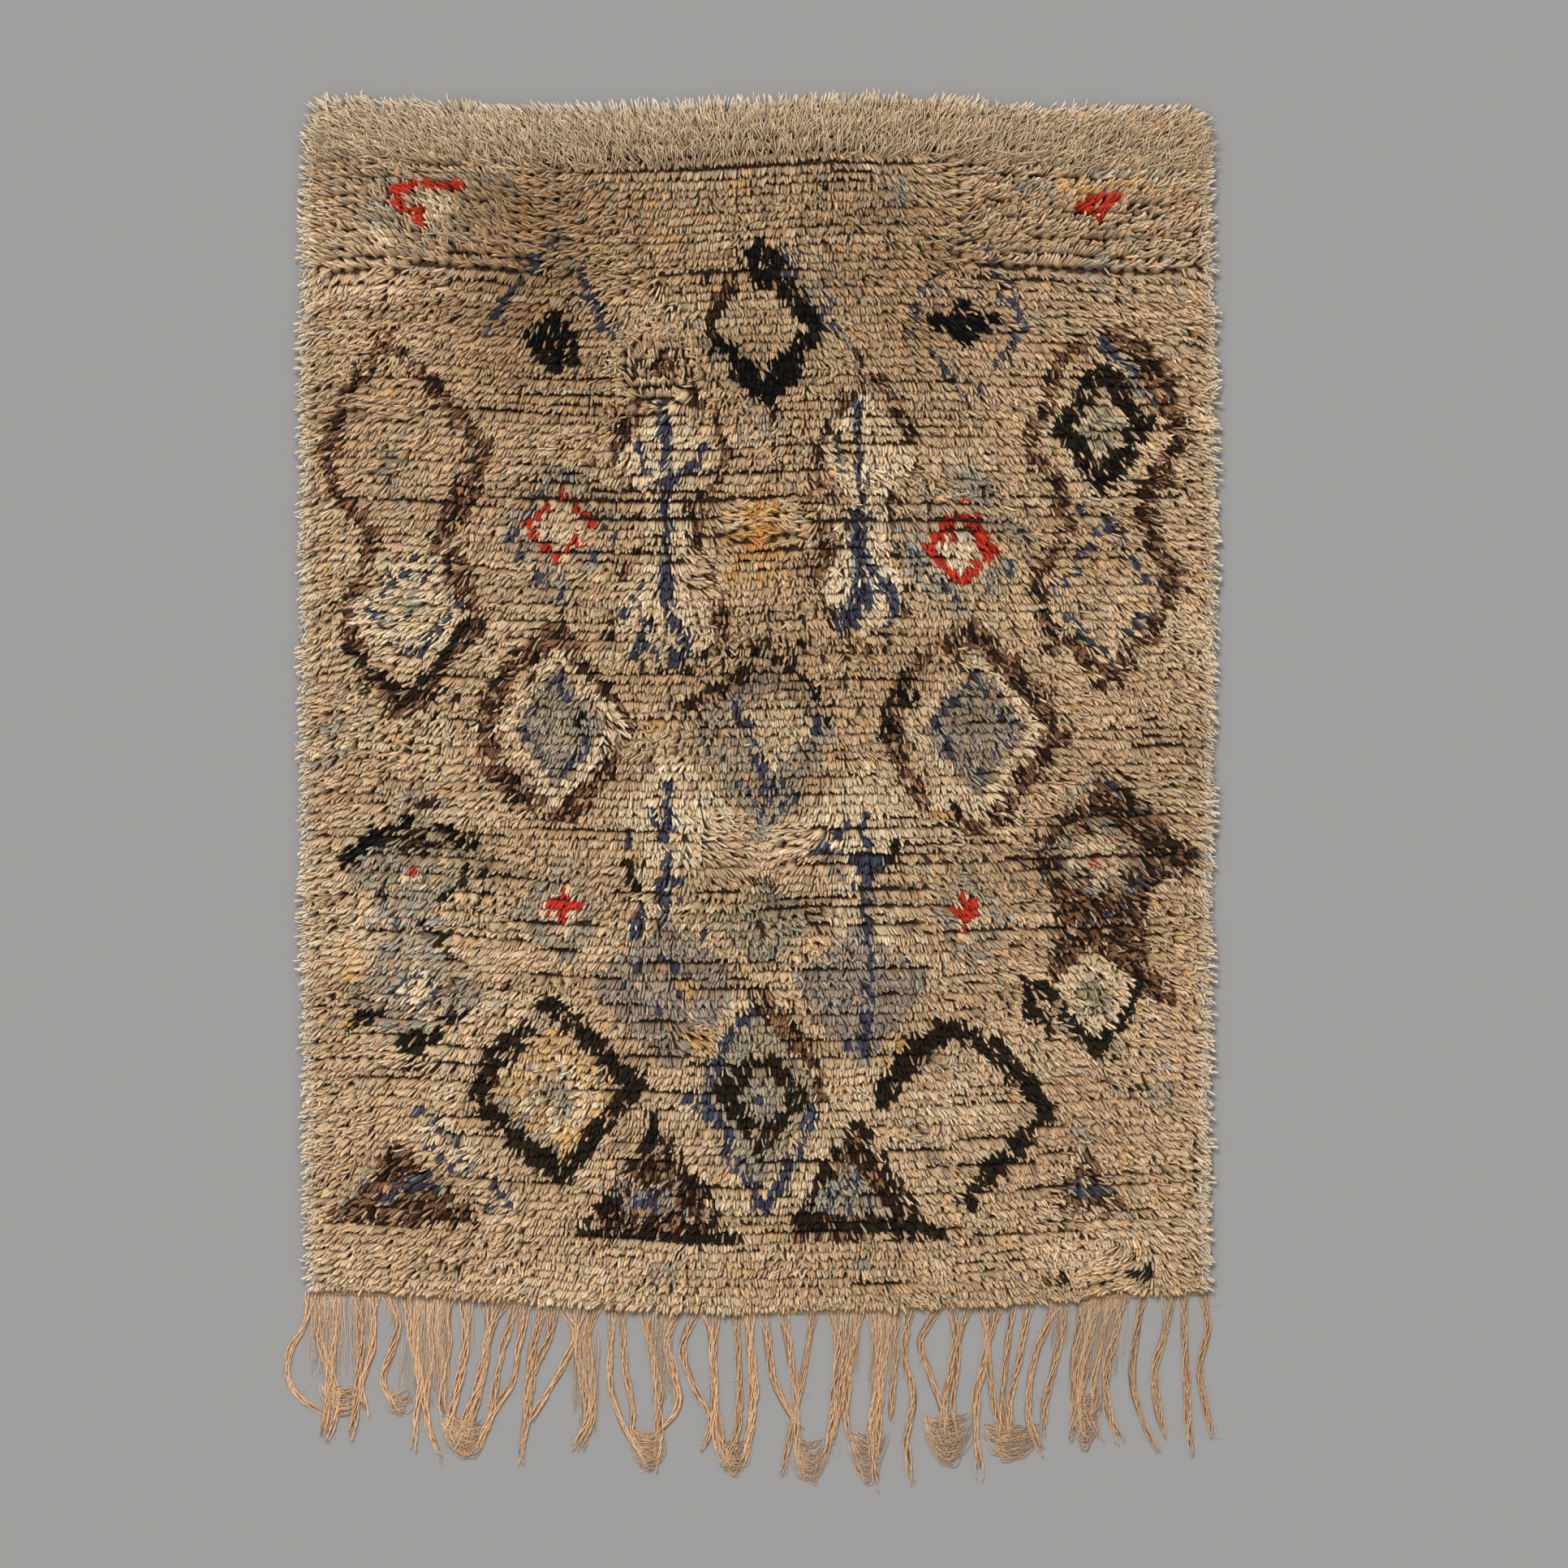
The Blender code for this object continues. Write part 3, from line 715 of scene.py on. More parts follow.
line("navy", 0.016, (-0.167, 0.290, -0.183, 0.234), 0.75)
line("navy", 0.020, (-0.132, 0.314, -0.100, 0.247), 0.80)
haze("navy", -0.132, 0.239, 0.061, 0.021, 0.60)
haze("umber", -0.143, 0.210, 0.040, 0.011, 0.45)
haze("gold", -0.180, 0.569, 0.019, 0.019, 0.30)
haze("brown", 0.177, 0.701, 0.027, 0.037, 0.50)
line("brown", 0.020, (0.161, 0.661, 0.121, 0.589, 0.105, 0.509, 0.132, 0.455), 0.60)
line("brown", 0.021, (0.207, 0.682, 0.255, 0.615, 0.265, 0.546, 0.225, 0.469), 0.55)
line("brown", 0.023, (0.129, 0.455, 0.111, 0.362, 0.145, 0.269, 0.188, 0.239), 0.70)
line("brown", 0.020, (0.244, 0.269, 0.193, 0.239), 0.65)
line("brown", 0.019, (0.231, 0.455, 0.247, 0.375, 0.249, 0.282), 0.45)
fill("cream", 0.183, 0.559, 0.072, 0.083, 0.112, 0.085, 0.96)
line("cream", 0.072, (0.188, 0.495, 0.188, 0.442), 0.85)
fill("cream", 0.185, 0.346, 0.067, 0.067, 0.128, 0.083, 0.94)
line("navy", 0.015, (0.177, 0.653, 0.180, 0.471), 0.95)
line("navy", 0.015, (0.147, 0.581, 0.149, 0.535, 0.196, 0.534), 0.88)
haze("gold", 0.161, 0.562, 0.016, 0.019, 0.55)
haze("plum", 0.212, 0.543, 0.019, 0.016, 0.50)
line("navy", 0.035, (0.177, 0.463, 0.181, 0.375), 0.85)
line("navy", 0.019, (0.185, 0.375, 0.220, 0.354, 0.231, 0.314, 0.220, 0.285), 0.85)
line("navy", 0.035, (0.183, 0.333, 0.164, 0.309, 0.153, 0.290), 0.85)
haze("slate", 0.257, 0.429, 0.024, 0.040, 0.45)
haze("gold", 0.231, 0.389, 0.016, 0.027, 0.30)
haze("gold", 0.009, 0.426, 0.061, 0.083, 0.85)
haze("orange", 0.009, 0.423, 0.037, 0.072, 0.55)
haze("gold", 0.028, 0.367, 0.024, 0.024, 0.60)
haze("slate", 0.033, 0.605, 0.024, 0.035, 0.30)

# The big brown lozenges down the right side: black rings, a blue dotted one, an eye and a cream one.
fill("pale", 0.569, 0.613, 0.109, 0.112, 0.128, 0.128, 0.45)
line("brown", 0.028, (0.569, 0.767, 0.508, 0.722, 0.479, 0.642, 0.449, 0.581, 0.513, 0.509), 0.72)
line("brown", 0.039, (0.601, 0.767, 0.668, 0.685, 0.695, 0.605), 0.78)
line("brown", 0.033, (0.695, 0.594, 0.644, 0.503, 0.639, 0.455, 0.687, 0.365), 0.80)
haze("brown", 0.588, 0.762, 0.040, 0.016, 0.50)
haze("umber", 0.660, 0.509, 0.053, 0.019, 0.50)
line("navy", 0.015, (0.575, 0.759, 0.580, 0.738), 0.75)
line("slate", 0.016, (0.591, 0.733, 0.620, 0.687, 0.657, 0.655), 0.80)
stitches("navy", 0.015, (0.593, 0.727, 0.660, 0.655), 0.75)
ring("bottle", 0.573, 0.613, 0.064, 0.064, 0.085, 0.088, 0.033, 0.97)
ring("black", 0.573, 0.613, 0.064, 0.064, 0.085, 0.088, 0.021, 0.55)
fill("sage", 0.573, 0.609, 0.032, 0.035, 0.045, 0.045, 0.90)
line("brown", 0.027, (0.513, 0.509, 0.516, 0.442, 0.460, 0.362, 0.489, 0.282, 0.569, 0.207), 0.72)
line("brown", 0.031, (0.687, 0.365, 0.649, 0.274, 0.583, 0.205), 0.78)
haze("umber", 0.500, 0.242, 0.040, 0.013, 0.30)
haze("umber", 0.593, 0.194, 0.067, 0.011, 0.45)
stitches("navy", 0.016, corners(0.577, 0.338, 0.083, 0.085, 0.117, 0.112), 0.78)
dots("navy", 0.015, (0.545, 0.470, 0.503, 0.391), 0.70)
haze("slate", 0.553, 0.335, 0.045, 0.029, 0.35)
haze("gold", 0.513, 0.141, 0.019, 0.027, 0.35)
haze("slate", 0.548, 0.002, 0.035, 0.043, 0.55)
fill("brown", 0.583, -0.091, 0.125, 0.131, 0.131, 0.107, 0.86)
haze("umber", 0.500, -0.094, 0.061, 0.040, 0.70)
haze("umber", 0.665, -0.094, 0.064, 0.045, 0.70)
haze("umber", 0.585, -0.011, 0.061, 0.045, 0.40)
haze("navy", 0.500, -0.115, 0.040, 0.019, 0.35)
line("brown", 0.155, (0.569, -0.163, 0.567, -0.233), 0.82)
haze("umber", 0.569, -0.185, 0.085, 0.053, 0.38)
line("brown", 0.032, (0.503, -0.241, 0.487, -0.310), 0.72)
line("brown", 0.032, (0.617, -0.246, 0.673, -0.326), 0.70)
haze("sand", 0.575, -0.078, 0.093, 0.080, 0.10)
haze("umber", 0.553, -0.041, 0.059, 0.013, 0.50)
line("umber", 0.015, (0.596, -0.066, 0.743, -0.069), 0.85)
line("umber", 0.012, (0.620, -0.091, 0.743, -0.089), 0.85)
line("umber", 0.015, (0.468, -0.105, 0.535, -0.118), 0.75)
stitches("navy", 0.016, (0.577, 0.029, 0.615, -0.027), 0.85)
stitches("navy", 0.016, (0.489, -0.097, 0.553, -0.147), 0.60)
stitches("navy", 0.016, (0.649, -0.118, 0.583, -0.187, 0.529, -0.211), 0.80)
ring("slate", 0.560, -0.094, 0.067, 0.069, 0.059, 0.064, 0.024, 0.65)
fill("cream", 0.560, -0.093, 0.051, 0.056, 0.045, 0.048, 0.96)
line("red", 0.013, (0.552, -0.097, 0.577, -0.095))
fill("cream", 0.555, -0.323, 0.075, 0.080, 0.080, 0.077)
haze("sage", 0.553, -0.326, 0.032, 0.032, 0.85)
line("bottle", 0.020, (0.448, -0.302, 0.457, -0.347, 0.479, -0.369), 0.88)
line("bottle", 0.024, (0.484, -0.310, 0.513, -0.366, 0.560, -0.411), 0.92)
line("bottle", 0.021, (0.631, -0.307, 0.609, -0.353, 0.563, -0.409), 0.90)
haze("brown", 0.569, -0.427, 0.016, 0.019, 0.50)
haze("slate", 0.503, -0.374, 0.029, 0.016, 0.45)
haze("slate", 0.551, -0.441, 0.035, 0.013, 0.45)
haze("slate", 0.673, -0.481, 0.029, 0.040, 0.60)
line("bottle", 0.011, (0.617, -0.471, 0.652, -0.473), 0.85)

# The middle register: three lozenges, each a brown outline round a blue-grey centre.
line("brown", 0.037, (-0.324, 0.269, -0.391, 0.218, -0.428, 0.135, -0.425, 0.055), 0.76)
line("brown", 0.037, (-0.425, 0.055, -0.372, 0.002, -0.319, -0.027), 0.72)
line("brown", 0.037, (-0.305, 0.263, -0.241, 0.175, -0.212, 0.119, -0.239, 0.042, -0.297, -0.025), 0.76)
haze("brown", -0.220, 0.069, 0.019, 0.045, 0.40)
ring("cream", -0.313, 0.118, 0.091, 0.093, 0.112, 0.112, 0.023, 0.66)
fill("plum", -0.313, 0.118, 0.072, 0.075, 0.093, 0.099, 0.90)
haze("sage", -0.308, 0.119, 0.045, 0.056, 0.70)
stitches("navy", 0.016, corners(-0.313, 0.113, 0.064, 0.063, 0.083, 0.083), 0.84)
dots("black", 0.015, (-0.271, 0.135, -0.281, 0.127))
haze("sage", 0.027, 0.274, 0.037, 0.024, 0.40)
fill("slate", 0.027, 0.102, 0.109, 0.099, 0.115, 0.179, 0.80)
ring("slate", 0.027, 0.109, 0.099, 0.088, 0.123, 0.149, 0.035, 0.80)
haze("bottle", 0.036, 0.242, 0.061, 0.035, 0.45)
haze("navy", 0.033, -0.005, 0.040, 0.045, 0.40)
haze("taupe", -0.060, 0.135, 0.040, 0.067, 0.40)
line("bottle", 0.015, (0.029, 0.269, 0.041, 0.231, 0.081, 0.199), 0.75)
haze("black", 0.049, 0.234, 0.045, 0.016, 0.40)
line("bottle", 0.015, (0.012, 0.234, -0.047, 0.175, -0.073, 0.127), 0.45)
line("umber", 0.016, (0.007, 0.218, -0.049, 0.189, -0.100, 0.151), 0.78)
haze("brown", -0.100, 0.146, 0.035, 0.019, 0.50)
line("black", 0.013, (0.081, 0.199, 0.116, 0.159, 0.127, 0.119), 0.55)
haze("brown", 0.108, 0.079, 0.021, 0.013, 0.50)
fill("cream", 0.041, 0.114, 0.067, 0.059, 0.072, 0.067, 0.86)
line("navy", 0.020, (-0.017, 0.186, -0.023, 0.146, -0.001, 0.098, 0.015, 0.055, 0.033, -0.009), 0.72)
line("navy", 0.013, (0.100, 0.146, 0.104, 0.098), 0.65)
line("navy", 0.013, (-0.025, 0.031, 0.009, -0.014), 0.65)
haze("navy", 0.044, 0.002, 0.032, 0.035, 0.45)
haze("slate", 0.015, -0.059, 0.021, 0.016, 0.45)
haze("cream", 0.044, 0.149, 0.027, 0.035, 0.60)
line("brown", 0.035, (0.361, 0.271, 0.273, 0.221, 0.228, 0.141, 0.239, 0.074), 0.74)
line("brown", 0.032, (0.239, 0.074, 0.281, -0.001, 0.369, -0.054), 0.66)
line("brown", 0.040, (0.375, 0.269, 0.452, 0.183, 0.508, 0.114), 0.80)
line("brown", 0.035, (0.508, 0.114, 0.449, 0.042, 0.383, -0.049), 0.74)
haze("black", 0.260, 0.183, 0.027, 0.019, 0.70)
haze("black", 0.225, 0.130, 0.016, 0.032, 0.55)
ring("cream", 0.364, 0.114, 0.099, 0.099, 0.112, 0.120, 0.024, 0.68)
fill("plum", 0.364, 0.119, 0.080, 0.080, 0.099, 0.107, 0.90)
haze("sage", 0.367, 0.114, 0.045, 0.061, 0.65)
stitches("navy", 0.016, corners(0.364, 0.117, 0.069, 0.067, 0.083, 0.077), 0.84)
haze("cream", 0.319, 0.007, 0.029, 0.035, 0.85)
haze("black", 0.340, -0.025, 0.016, 0.016, 0.60)
haze("gold", 0.308, -0.030, 0.021, 0.016, 0.50)
haze("gold", 0.407, -0.057, 0.029, 0.013, 0.30)
haze("gold", -0.167, 0.114, 0.045, 0.016, 0.50)
haze("gold", 0.183, 0.149, 0.016, 0.037, 0.35)

# The two lower trees: a blue stem with dots beside it, over two plum lozenges and a grey one.
fill("cream", -0.124, -0.027, 0.104, 0.099, 0.101, 0.101, 0.88)
line("cream", 0.059, (-0.151, -0.105, -0.167, -0.225), 0.80)
haze("cream", -0.100, -0.225, 0.053, 0.040, 0.50)
line("navy", 0.015, (-0.137, 0.029, -0.135, -0.105), 0.85)
line("navy", 0.020, (-0.136, -0.105, -0.140, -0.198), 0.85)
line("navy", 0.013, (-0.148, -0.058, -0.119, -0.058), 0.85)
line("navy", 0.017, (-0.151, -0.134, -0.113, -0.134), 0.85)
dots("navy", 0.017, (-0.204, -0.067, -0.161, -0.029, -0.084, -0.079, -0.107, -0.165), 0.90)
line("bottle", 0.020, (-0.196, -0.113, -0.183, -0.166), 0.80)
line("navy", 0.013, (-0.173, -0.185, -0.185, -0.222, -0.207, -0.243), 0.75)
line("navy", 0.011, (-0.127, -0.214, -0.076, -0.219), 0.60)
fill("plum", -0.132, -0.302, 0.123, 0.112, 0.101, 0.144, 0.86)
haze("taupe", -0.132, -0.291, 0.080, 0.067, 0.30)
stitches("navy", 0.015, corners(-0.148, -0.302, 0.072, 0.072, 0.045, 0.048), 0.70)
haze("gold", -0.100, -0.311, 0.019, 0.024, 0.75)
haze("gold", -0.137, -0.339, 0.013, 0.013, 0.50)
haze("gold", -0.092, -0.393, 0.040, 0.027, 0.60)
fill("cream", 0.183, -0.030, 0.091, 0.088, 0.088, 0.101, 0.88)
line("cream", 0.037, (0.161, -0.142, 0.153, -0.265), 0.75)
line("cream", 0.032, (0.220, -0.190, 0.220, -0.278), 0.70)
line("navy", 0.015, (0.187, -0.025, 0.191, -0.083), 0.90)
line("navy", 0.027, (0.175, -0.105, 0.212, -0.105), 0.90)
line("navy", 0.015, (0.191, -0.105, 0.191, -0.425), 0.90)
line("navy", 0.016, (0.156, -0.045, 0.113, -0.089, 0.145, -0.086), 0.70)
dots("navy", 0.017, (0.164, -0.151, 0.161, -0.283, 0.247, -0.265), 0.90)
line("slate", 0.013, (0.124, -0.105, 0.153, -0.129), 0.80)
line("bottle", 0.016, (0.236, -0.078, 0.231, -0.115), 0.85)
line("navy", 0.013, (0.212, -0.150, 0.236, -0.155), 0.70)
fill("plum", 0.183, -0.302, 0.109, 0.104, 0.096, 0.139, 0.86)
haze("taupe", 0.207, -0.278, 0.067, 0.067, 0.30)
line("navy", 0.015, (0.191, -0.211, 0.191, -0.425), 0.90)
line("navy", 0.012, (0.169, -0.273, 0.223, -0.267), 0.65)
line("navy", 0.016, (0.159, -0.401, 0.193, -0.399), 0.85)
fill("sage", 0.023, -0.201, 0.083, 0.083, 0.064, 0.083, 0.86)
haze("umber", 0.028, -0.139, 0.035, 0.013, 0.50)
fill("cream", -0.304, -0.177, 0.040, 0.040, 0.048, 0.048, 0.92)
ring("slate", -0.305, -0.181, 0.059, 0.059, 0.064, 0.069, 0.027, 0.75)
dots("red", 0.012, (-0.309, -0.150, -0.300, -0.158, -0.309, -0.206))
line("red", 0.016, (-0.327, -0.175, -0.280, -0.175))
line("red", 0.012, (-0.301, -0.166, -0.303, -0.195))
fill("cream", 0.348, -0.187, 0.027, 0.024, 0.040, 0.045, 0.85)
ring("slate", 0.353, -0.187, 0.045, 0.053, 0.059, 0.069, 0.029, 0.70)
haze("slate", 0.353, -0.262, 0.016, 0.029, 0.45)
line("red", 0.017, (0.335, -0.182, 0.361, -0.179))
line("red", 0.012, (0.349, -0.166, 0.347, -0.214))

# The bold register: two black-edged lozenges and a blue one between, over four triangles.
fill("gold", -0.311, -0.483, 0.109, 0.109, 0.112, 0.115, 0.62)
fill("cream", -0.308, -0.486, 0.075, 0.075, 0.075, 0.075, 0.55)
haze("slate", -0.313, -0.481, 0.035, 0.032, 0.85)
line("plum", 0.027, (-0.404, -0.494, -0.327, -0.574), 0.70)
haze("plum", -0.360, -0.435, 0.021, 0.019, 0.40)
line("bottle", 0.033, (-0.361, -0.382, -0.425, -0.433, -0.444, -0.486), 0.97)
line("bottle", 0.033, (-0.444, -0.486, -0.380, -0.558, -0.308, -0.619), 0.96)
line("bottle", 0.033, (-0.327, -0.331, -0.271, -0.377, -0.185, -0.470), 0.97)
line("bottle", 0.033, (-0.185, -0.473, -0.247, -0.542, -0.308, -0.619), 0.96)
haze("umber", -0.433, -0.465, 0.021, 0.040, 0.60)
haze("umber", -0.247, -0.425, 0.040, 0.040, 0.40)
fill("sage", 0.017, -0.486, 0.099, 0.093, 0.133, 0.139, 0.86)
line("navy", 0.023, (0.001, -0.350, -0.052, -0.411, -0.073, -0.494), 0.80)
line("navy", 0.024, (-0.076, -0.494, -0.033, -0.582, 0.025, -0.670), 0.75)
line("navy", 0.023, (0.103, -0.515, 0.068, -0.598, 0.036, -0.659), 0.75)
line("navy", 0.016, (-0.124, -0.486, -0.081, -0.491), 0.75)
line("brown", 0.032, (0.009, -0.326, 0.068, -0.385, 0.116, -0.465), 0.76)
haze("brown", 0.113, -0.491, 0.016, 0.024, 0.60)
ring("bottle", 0.017, -0.486, 0.059, 0.059, 0.064, 0.075, 0.029, 0.97)
fill("plum", 0.017, -0.489, 0.032, 0.035, 0.037, 0.043, 0.80)
dots("navy", 0.012, (0.009, -0.494))
line("bottle", 0.012, (0.015, -0.553, 0.017, -0.587), 0.70)
haze("slate", 0.020, -0.606, 0.040, 0.027, 0.50)
haze("gold", 0.263, -0.427, 0.045, 0.027, 0.75)
haze("slate", 0.324, -0.435, 0.045, 0.019, 0.55)
haze("slate", 0.300, -0.483, 0.019, 0.040, 0.50)
haze("gold", 0.233, -0.491, 0.021, 0.032, 0.50)
fill("pale", 0.353, -0.505, 0.080, 0.080, 0.080, 0.107, 0.60)
haze("cream", 0.353, -0.491, 0.051, 0.045, 0.80)
line("slate", 0.021, (0.257, -0.531, 0.313, -0.606), 0.70)
haze("slate", 0.356, -0.553, 0.043, 0.013, 0.45)
line("bottle", 0.033, (0.215, -0.491, 0.271, -0.414, 0.321, -0.374), 0.97)
line("bottle", 0.033, (0.321, -0.374, 0.401, -0.411, 0.484, -0.507), 0.97)
line("bottle", 0.033, (0.484, -0.507, 0.428, -0.574, 0.351, -0.657), 0.96)
haze("umber", 0.433, -0.451, 0.035, 0.035, 0.45)
haze("gold", 0.471, -0.563, 0.019, 0.029, 0.40)
haze("gold", 0.383, -0.657, 0.045, 0.016, 0.35)


def triangle(x, apex_y, base_y, half, wool, share):
    """A triangle of one wool."""
    down = (apex_y - drawn_y) / (apex_y - base_y)
    beyond = np.maximum(np.abs(drawn_x - x) - half * down, np.maximum(drawn_y - apex_y, base_y - drawn_y))
    knot_in(wool, share * inside(beyond), 0.25)


triangle(-0.567, -0.553, -0.699, 0.131, "brown", 0.80)
line("slate", 0.015, (-0.583, -0.561, -0.633, -0.625, -0.676, -0.686), 0.60)
haze("navy", -0.537, -0.633, 0.043, 0.020, 0.80)
haze("navy", -0.591, -0.654, 0.019, 0.013, 0.75)
haze("umber", -0.593, -0.691, 0.093, 0.012, 0.40)
line("cream", 0.059, (-0.503, -0.539, -0.404, -0.662), 0.70)
stitches("navy", 0.016, (-0.537, -0.513, -0.507, -0.531, -0.383, -0.670), 0.90)
stitches("navy", 0.016, (-0.535, -0.545, -0.428, -0.667), 0.85)
haze("brown", -0.360, -0.718, 0.013, 0.013, 0.55)
triangle(-0.151, -0.537, -0.726, 0.117, "umber", 0.86)
triangle(-0.151, -0.558, -0.707, 0.083, "brown", 0.50)
line("bottle", 0.015, (-0.156, -0.521, -0.151, -0.574), 0.92)
line("bottle", 0.016, (-0.167, -0.566, -0.271, -0.715), 0.75)
line("bottle", 0.016, (-0.129, -0.571, -0.033, -0.713), 0.65)
haze("brown", -0.153, -0.611, 0.040, 0.019, 0.45)
haze("plum", -0.161, -0.654, 0.067, 0.035, 0.65)
haze("slate", -0.207, -0.611, 0.016, 0.040, 0.35)
haze("navy", -0.161, -0.657, 0.040, 0.016, 0.60)
line("bottle", 0.017, (-0.279, -0.715, -0.025, -0.721), 0.85)
haze("slate", -0.217, -0.606, 0.013, 0.045, 0.45)
haze("slate", -0.071, -0.678, 0.029, 0.027, 0.40)
triangle(0.169, -0.526, -0.718, 0.112, "umber", 0.88)
line("bottle", 0.016, (0.167, -0.537, 0.079, -0.691), 0.75)
line("bottle", 0.016, (0.175, -0.537, 0.273, -0.691), 0.75)
line("bottle", 0.017, (0.076, -0.710, 0.279, -0.697, 0.313, -0.715), 0.88)
triangle(0.161, -0.590, -0.683, 0.072, "slate", 0.88)
haze("navy", 0.153, -0.646, 0.045, 0.032, 0.45)
stitches("navy", 0.016, (0.121, -0.675, 0.161, -0.614, 0.196, -0.667), 0.85)
dots("navy", 0.016, (0.159, -0.654), 0.85)
haze("gold", 0.055, -0.705, 0.019, 0.019, 0.50)
triangle(0.548, -0.571, -0.673, 0.067, "brown", 0.78)
haze("navy", 0.553, -0.641, 0.032, 0.017, 0.85)
line("slate", 0.012, (0.471, -0.681, 0.623, -0.681), 0.65)
haze("slate", 0.543, -0.558, 0.019, 0.024, 0.45)
line("gold", 0.013, (0.591, -0.542, 0.639, -0.611, 0.692, -0.678), 0.45)
haze("slate", -0.135, -0.774, 0.035, 0.027, 0.50)
haze("umber", 0.188, -0.771, 0.024, 0.032, 0.35)
haze("slate", 0.180, -0.758, 0.035, 0.021, 0.35)
dots("bottle", 0.019, (0.639, -0.779, 0.649, -0.774))
haze("slate", 0.647, -0.811, 0.029, 0.013, 0.40)
haze("umber", 0.500, -0.787, 0.053, 0.007, 0.50)

# A dark mark is never solid: here and there a neighbour's paler yarn lies over it.
STRAY_SHARE = 0.10
DARK_WOOLS = [NAMES.index(name) for name in ("black", "bottle", "umber", "brown")]
strayed = np.random.default_rng(71).uniform(size=root_x.shape) < STRAY_SHARE
dye[strayed & np.isin(dye, DARK_WOOLS)] = NAMES.index("taupe")


# The pile yarns: soft two-ply wool about 5 mm wide, cut 22 to 30 mm from its knot and lying over. Each
# is a closed tapered strand, rooted in the ground, arched over its row and drooping on to the next.
CREST_HEIGHT = 0.0130
ROW_REACH = 0.0220
SHORTEST_REACH = 0.0090
LONGEST_REACH = 0.0300
PLAIN_END_LONGER = 0.0070
PLAIN_END_BLEND = 0.025
HALF_WIDTH = 0.0025
ROOT_HEIGHT = 0.0050
TIP_HEIGHT = 0.0108
CREST_RANGE = (0.0095, 0.0170)
TIP_RANGE = (0.0035, 0.0130)
TURNS = np.array([90.0, 210.0, 330.0]) * math.pi / 180.0
# A stage's shade darkens the tint on its ring, as painted shade.
Stages = namedtuple("Stages", "reach rise width shade flatness")
YARN_STAGES = Stages(
    np.array([0.0, 0.78, 1.0]),
    np.array([0.0, 1.0]),
    np.array([1.0, 1.0]),
    np.array([0.90, 1.0, 1.0]),
    0.34,
)
LAP_STAGES = Stages(
    np.array([0.0, 0.55, 1.0]),
    np.array([0.0, 1.0]),
    np.array([0.95, 1.0]),
    np.array([0.54, 0.68, 0.54]),
    0.20,
)
PILE_PIECES = 4
# Painted highlight along the rim: yarns near the sides and the plain end are mixed towards a pale tone.
RIM_HIGHLIGHT_TONE = (255, 244, 224)
RIM_HIGHLIGHT_WIDTH = 0.038
RIM_HIGHLIGHT_SHARE = 0.82
LAP_HALF_WIDTH = 0.0135
LAP_DEPTH = 0.0036
LAP_REACH_SHARE = 0.95
# Painted shade, and the darker patches, grow warmer as they darken: each share is raised to these powers
# for red, green and blue.
WARM_SHADE = np.array([0.80, 1.0, 1.25])
# Some places are darker and others paler, partly by wear and partly as painted shade and light of the
# rug's gentle waves, and the plain end has faded.
WORN_PALE = np.array([0.16, 0.27, 0.46])
WearAndShading = namedtuple("WearAndShading", "x y radius_x radius_y gain")
WEAR_AND_SHADING = (
    WearAndShading(-0.333, 0.915, 0.150, 0.120, -0.40),
    WearAndShading(-0.360, 0.760, 0.140, 0.100, -0.30),
    WearAndShading(-0.120, 0.900, 0.120, 0.090, -0.15),
    WearAndShading(0.240, 0.930, 0.170, 0.100, -0.28),
    WearAndShading(0.013, 0.740, 0.100, 0.090, -0.30),
    WearAndShading(0.270, 0.770, 0.100, 0.070, -0.25),
    WearAndShading(-0.640, 0.640, 0.080, 0.120, -0.12),
    WearAndShading(-0.187, 0.270, 0.140, 0.060, -0.16),
    WearAndShading(-0.520, 0.190, 0.090, 0.070, -0.20),
    WearAndShading(0.040, 0.170, 0.080, 0.110, -0.24),
    WearAndShading(0.330, 0.170, 0.140, 0.110, -0.20),
    WearAndShading(0.230, 0.390, 0.090, 0.060, 0.20),
    WearAndShading(-0.600, -0.230, 0.120, 0.100, 0.12),
    WearAndShading(-0.390, -0.400, 0.120, 0.060, 0.20),
    WearAndShading(-0.620, -0.800, 0.160, 0.040, 0.15),
    WearAndShading(-0.500, -0.640, 0.120, 0.060, -0.12),
    WearAndShading(0.290, -0.400, 0.060, 0.060, -0.20),
    WearAndShading(0.560, -0.060, 0.130, 0.080, -0.20),
    WearAndShading(0.560, -0.310, 0.080, 0.060, -0.12),
    WearAndShading(-0.630, 0.080, 0.100, 0.080, 0.10),
)
# Painted shade at each yarn's root: the material darkens it by ROOT_SHADE up to DARK_UP_TO of the way
# along, and shows full colour from LIT_FROM.
ROOT_SHADE = (0.13, 0.08, 0.055, 1.0)
DARK_UP_TO = 0.08
LIT_FROM = 0.29


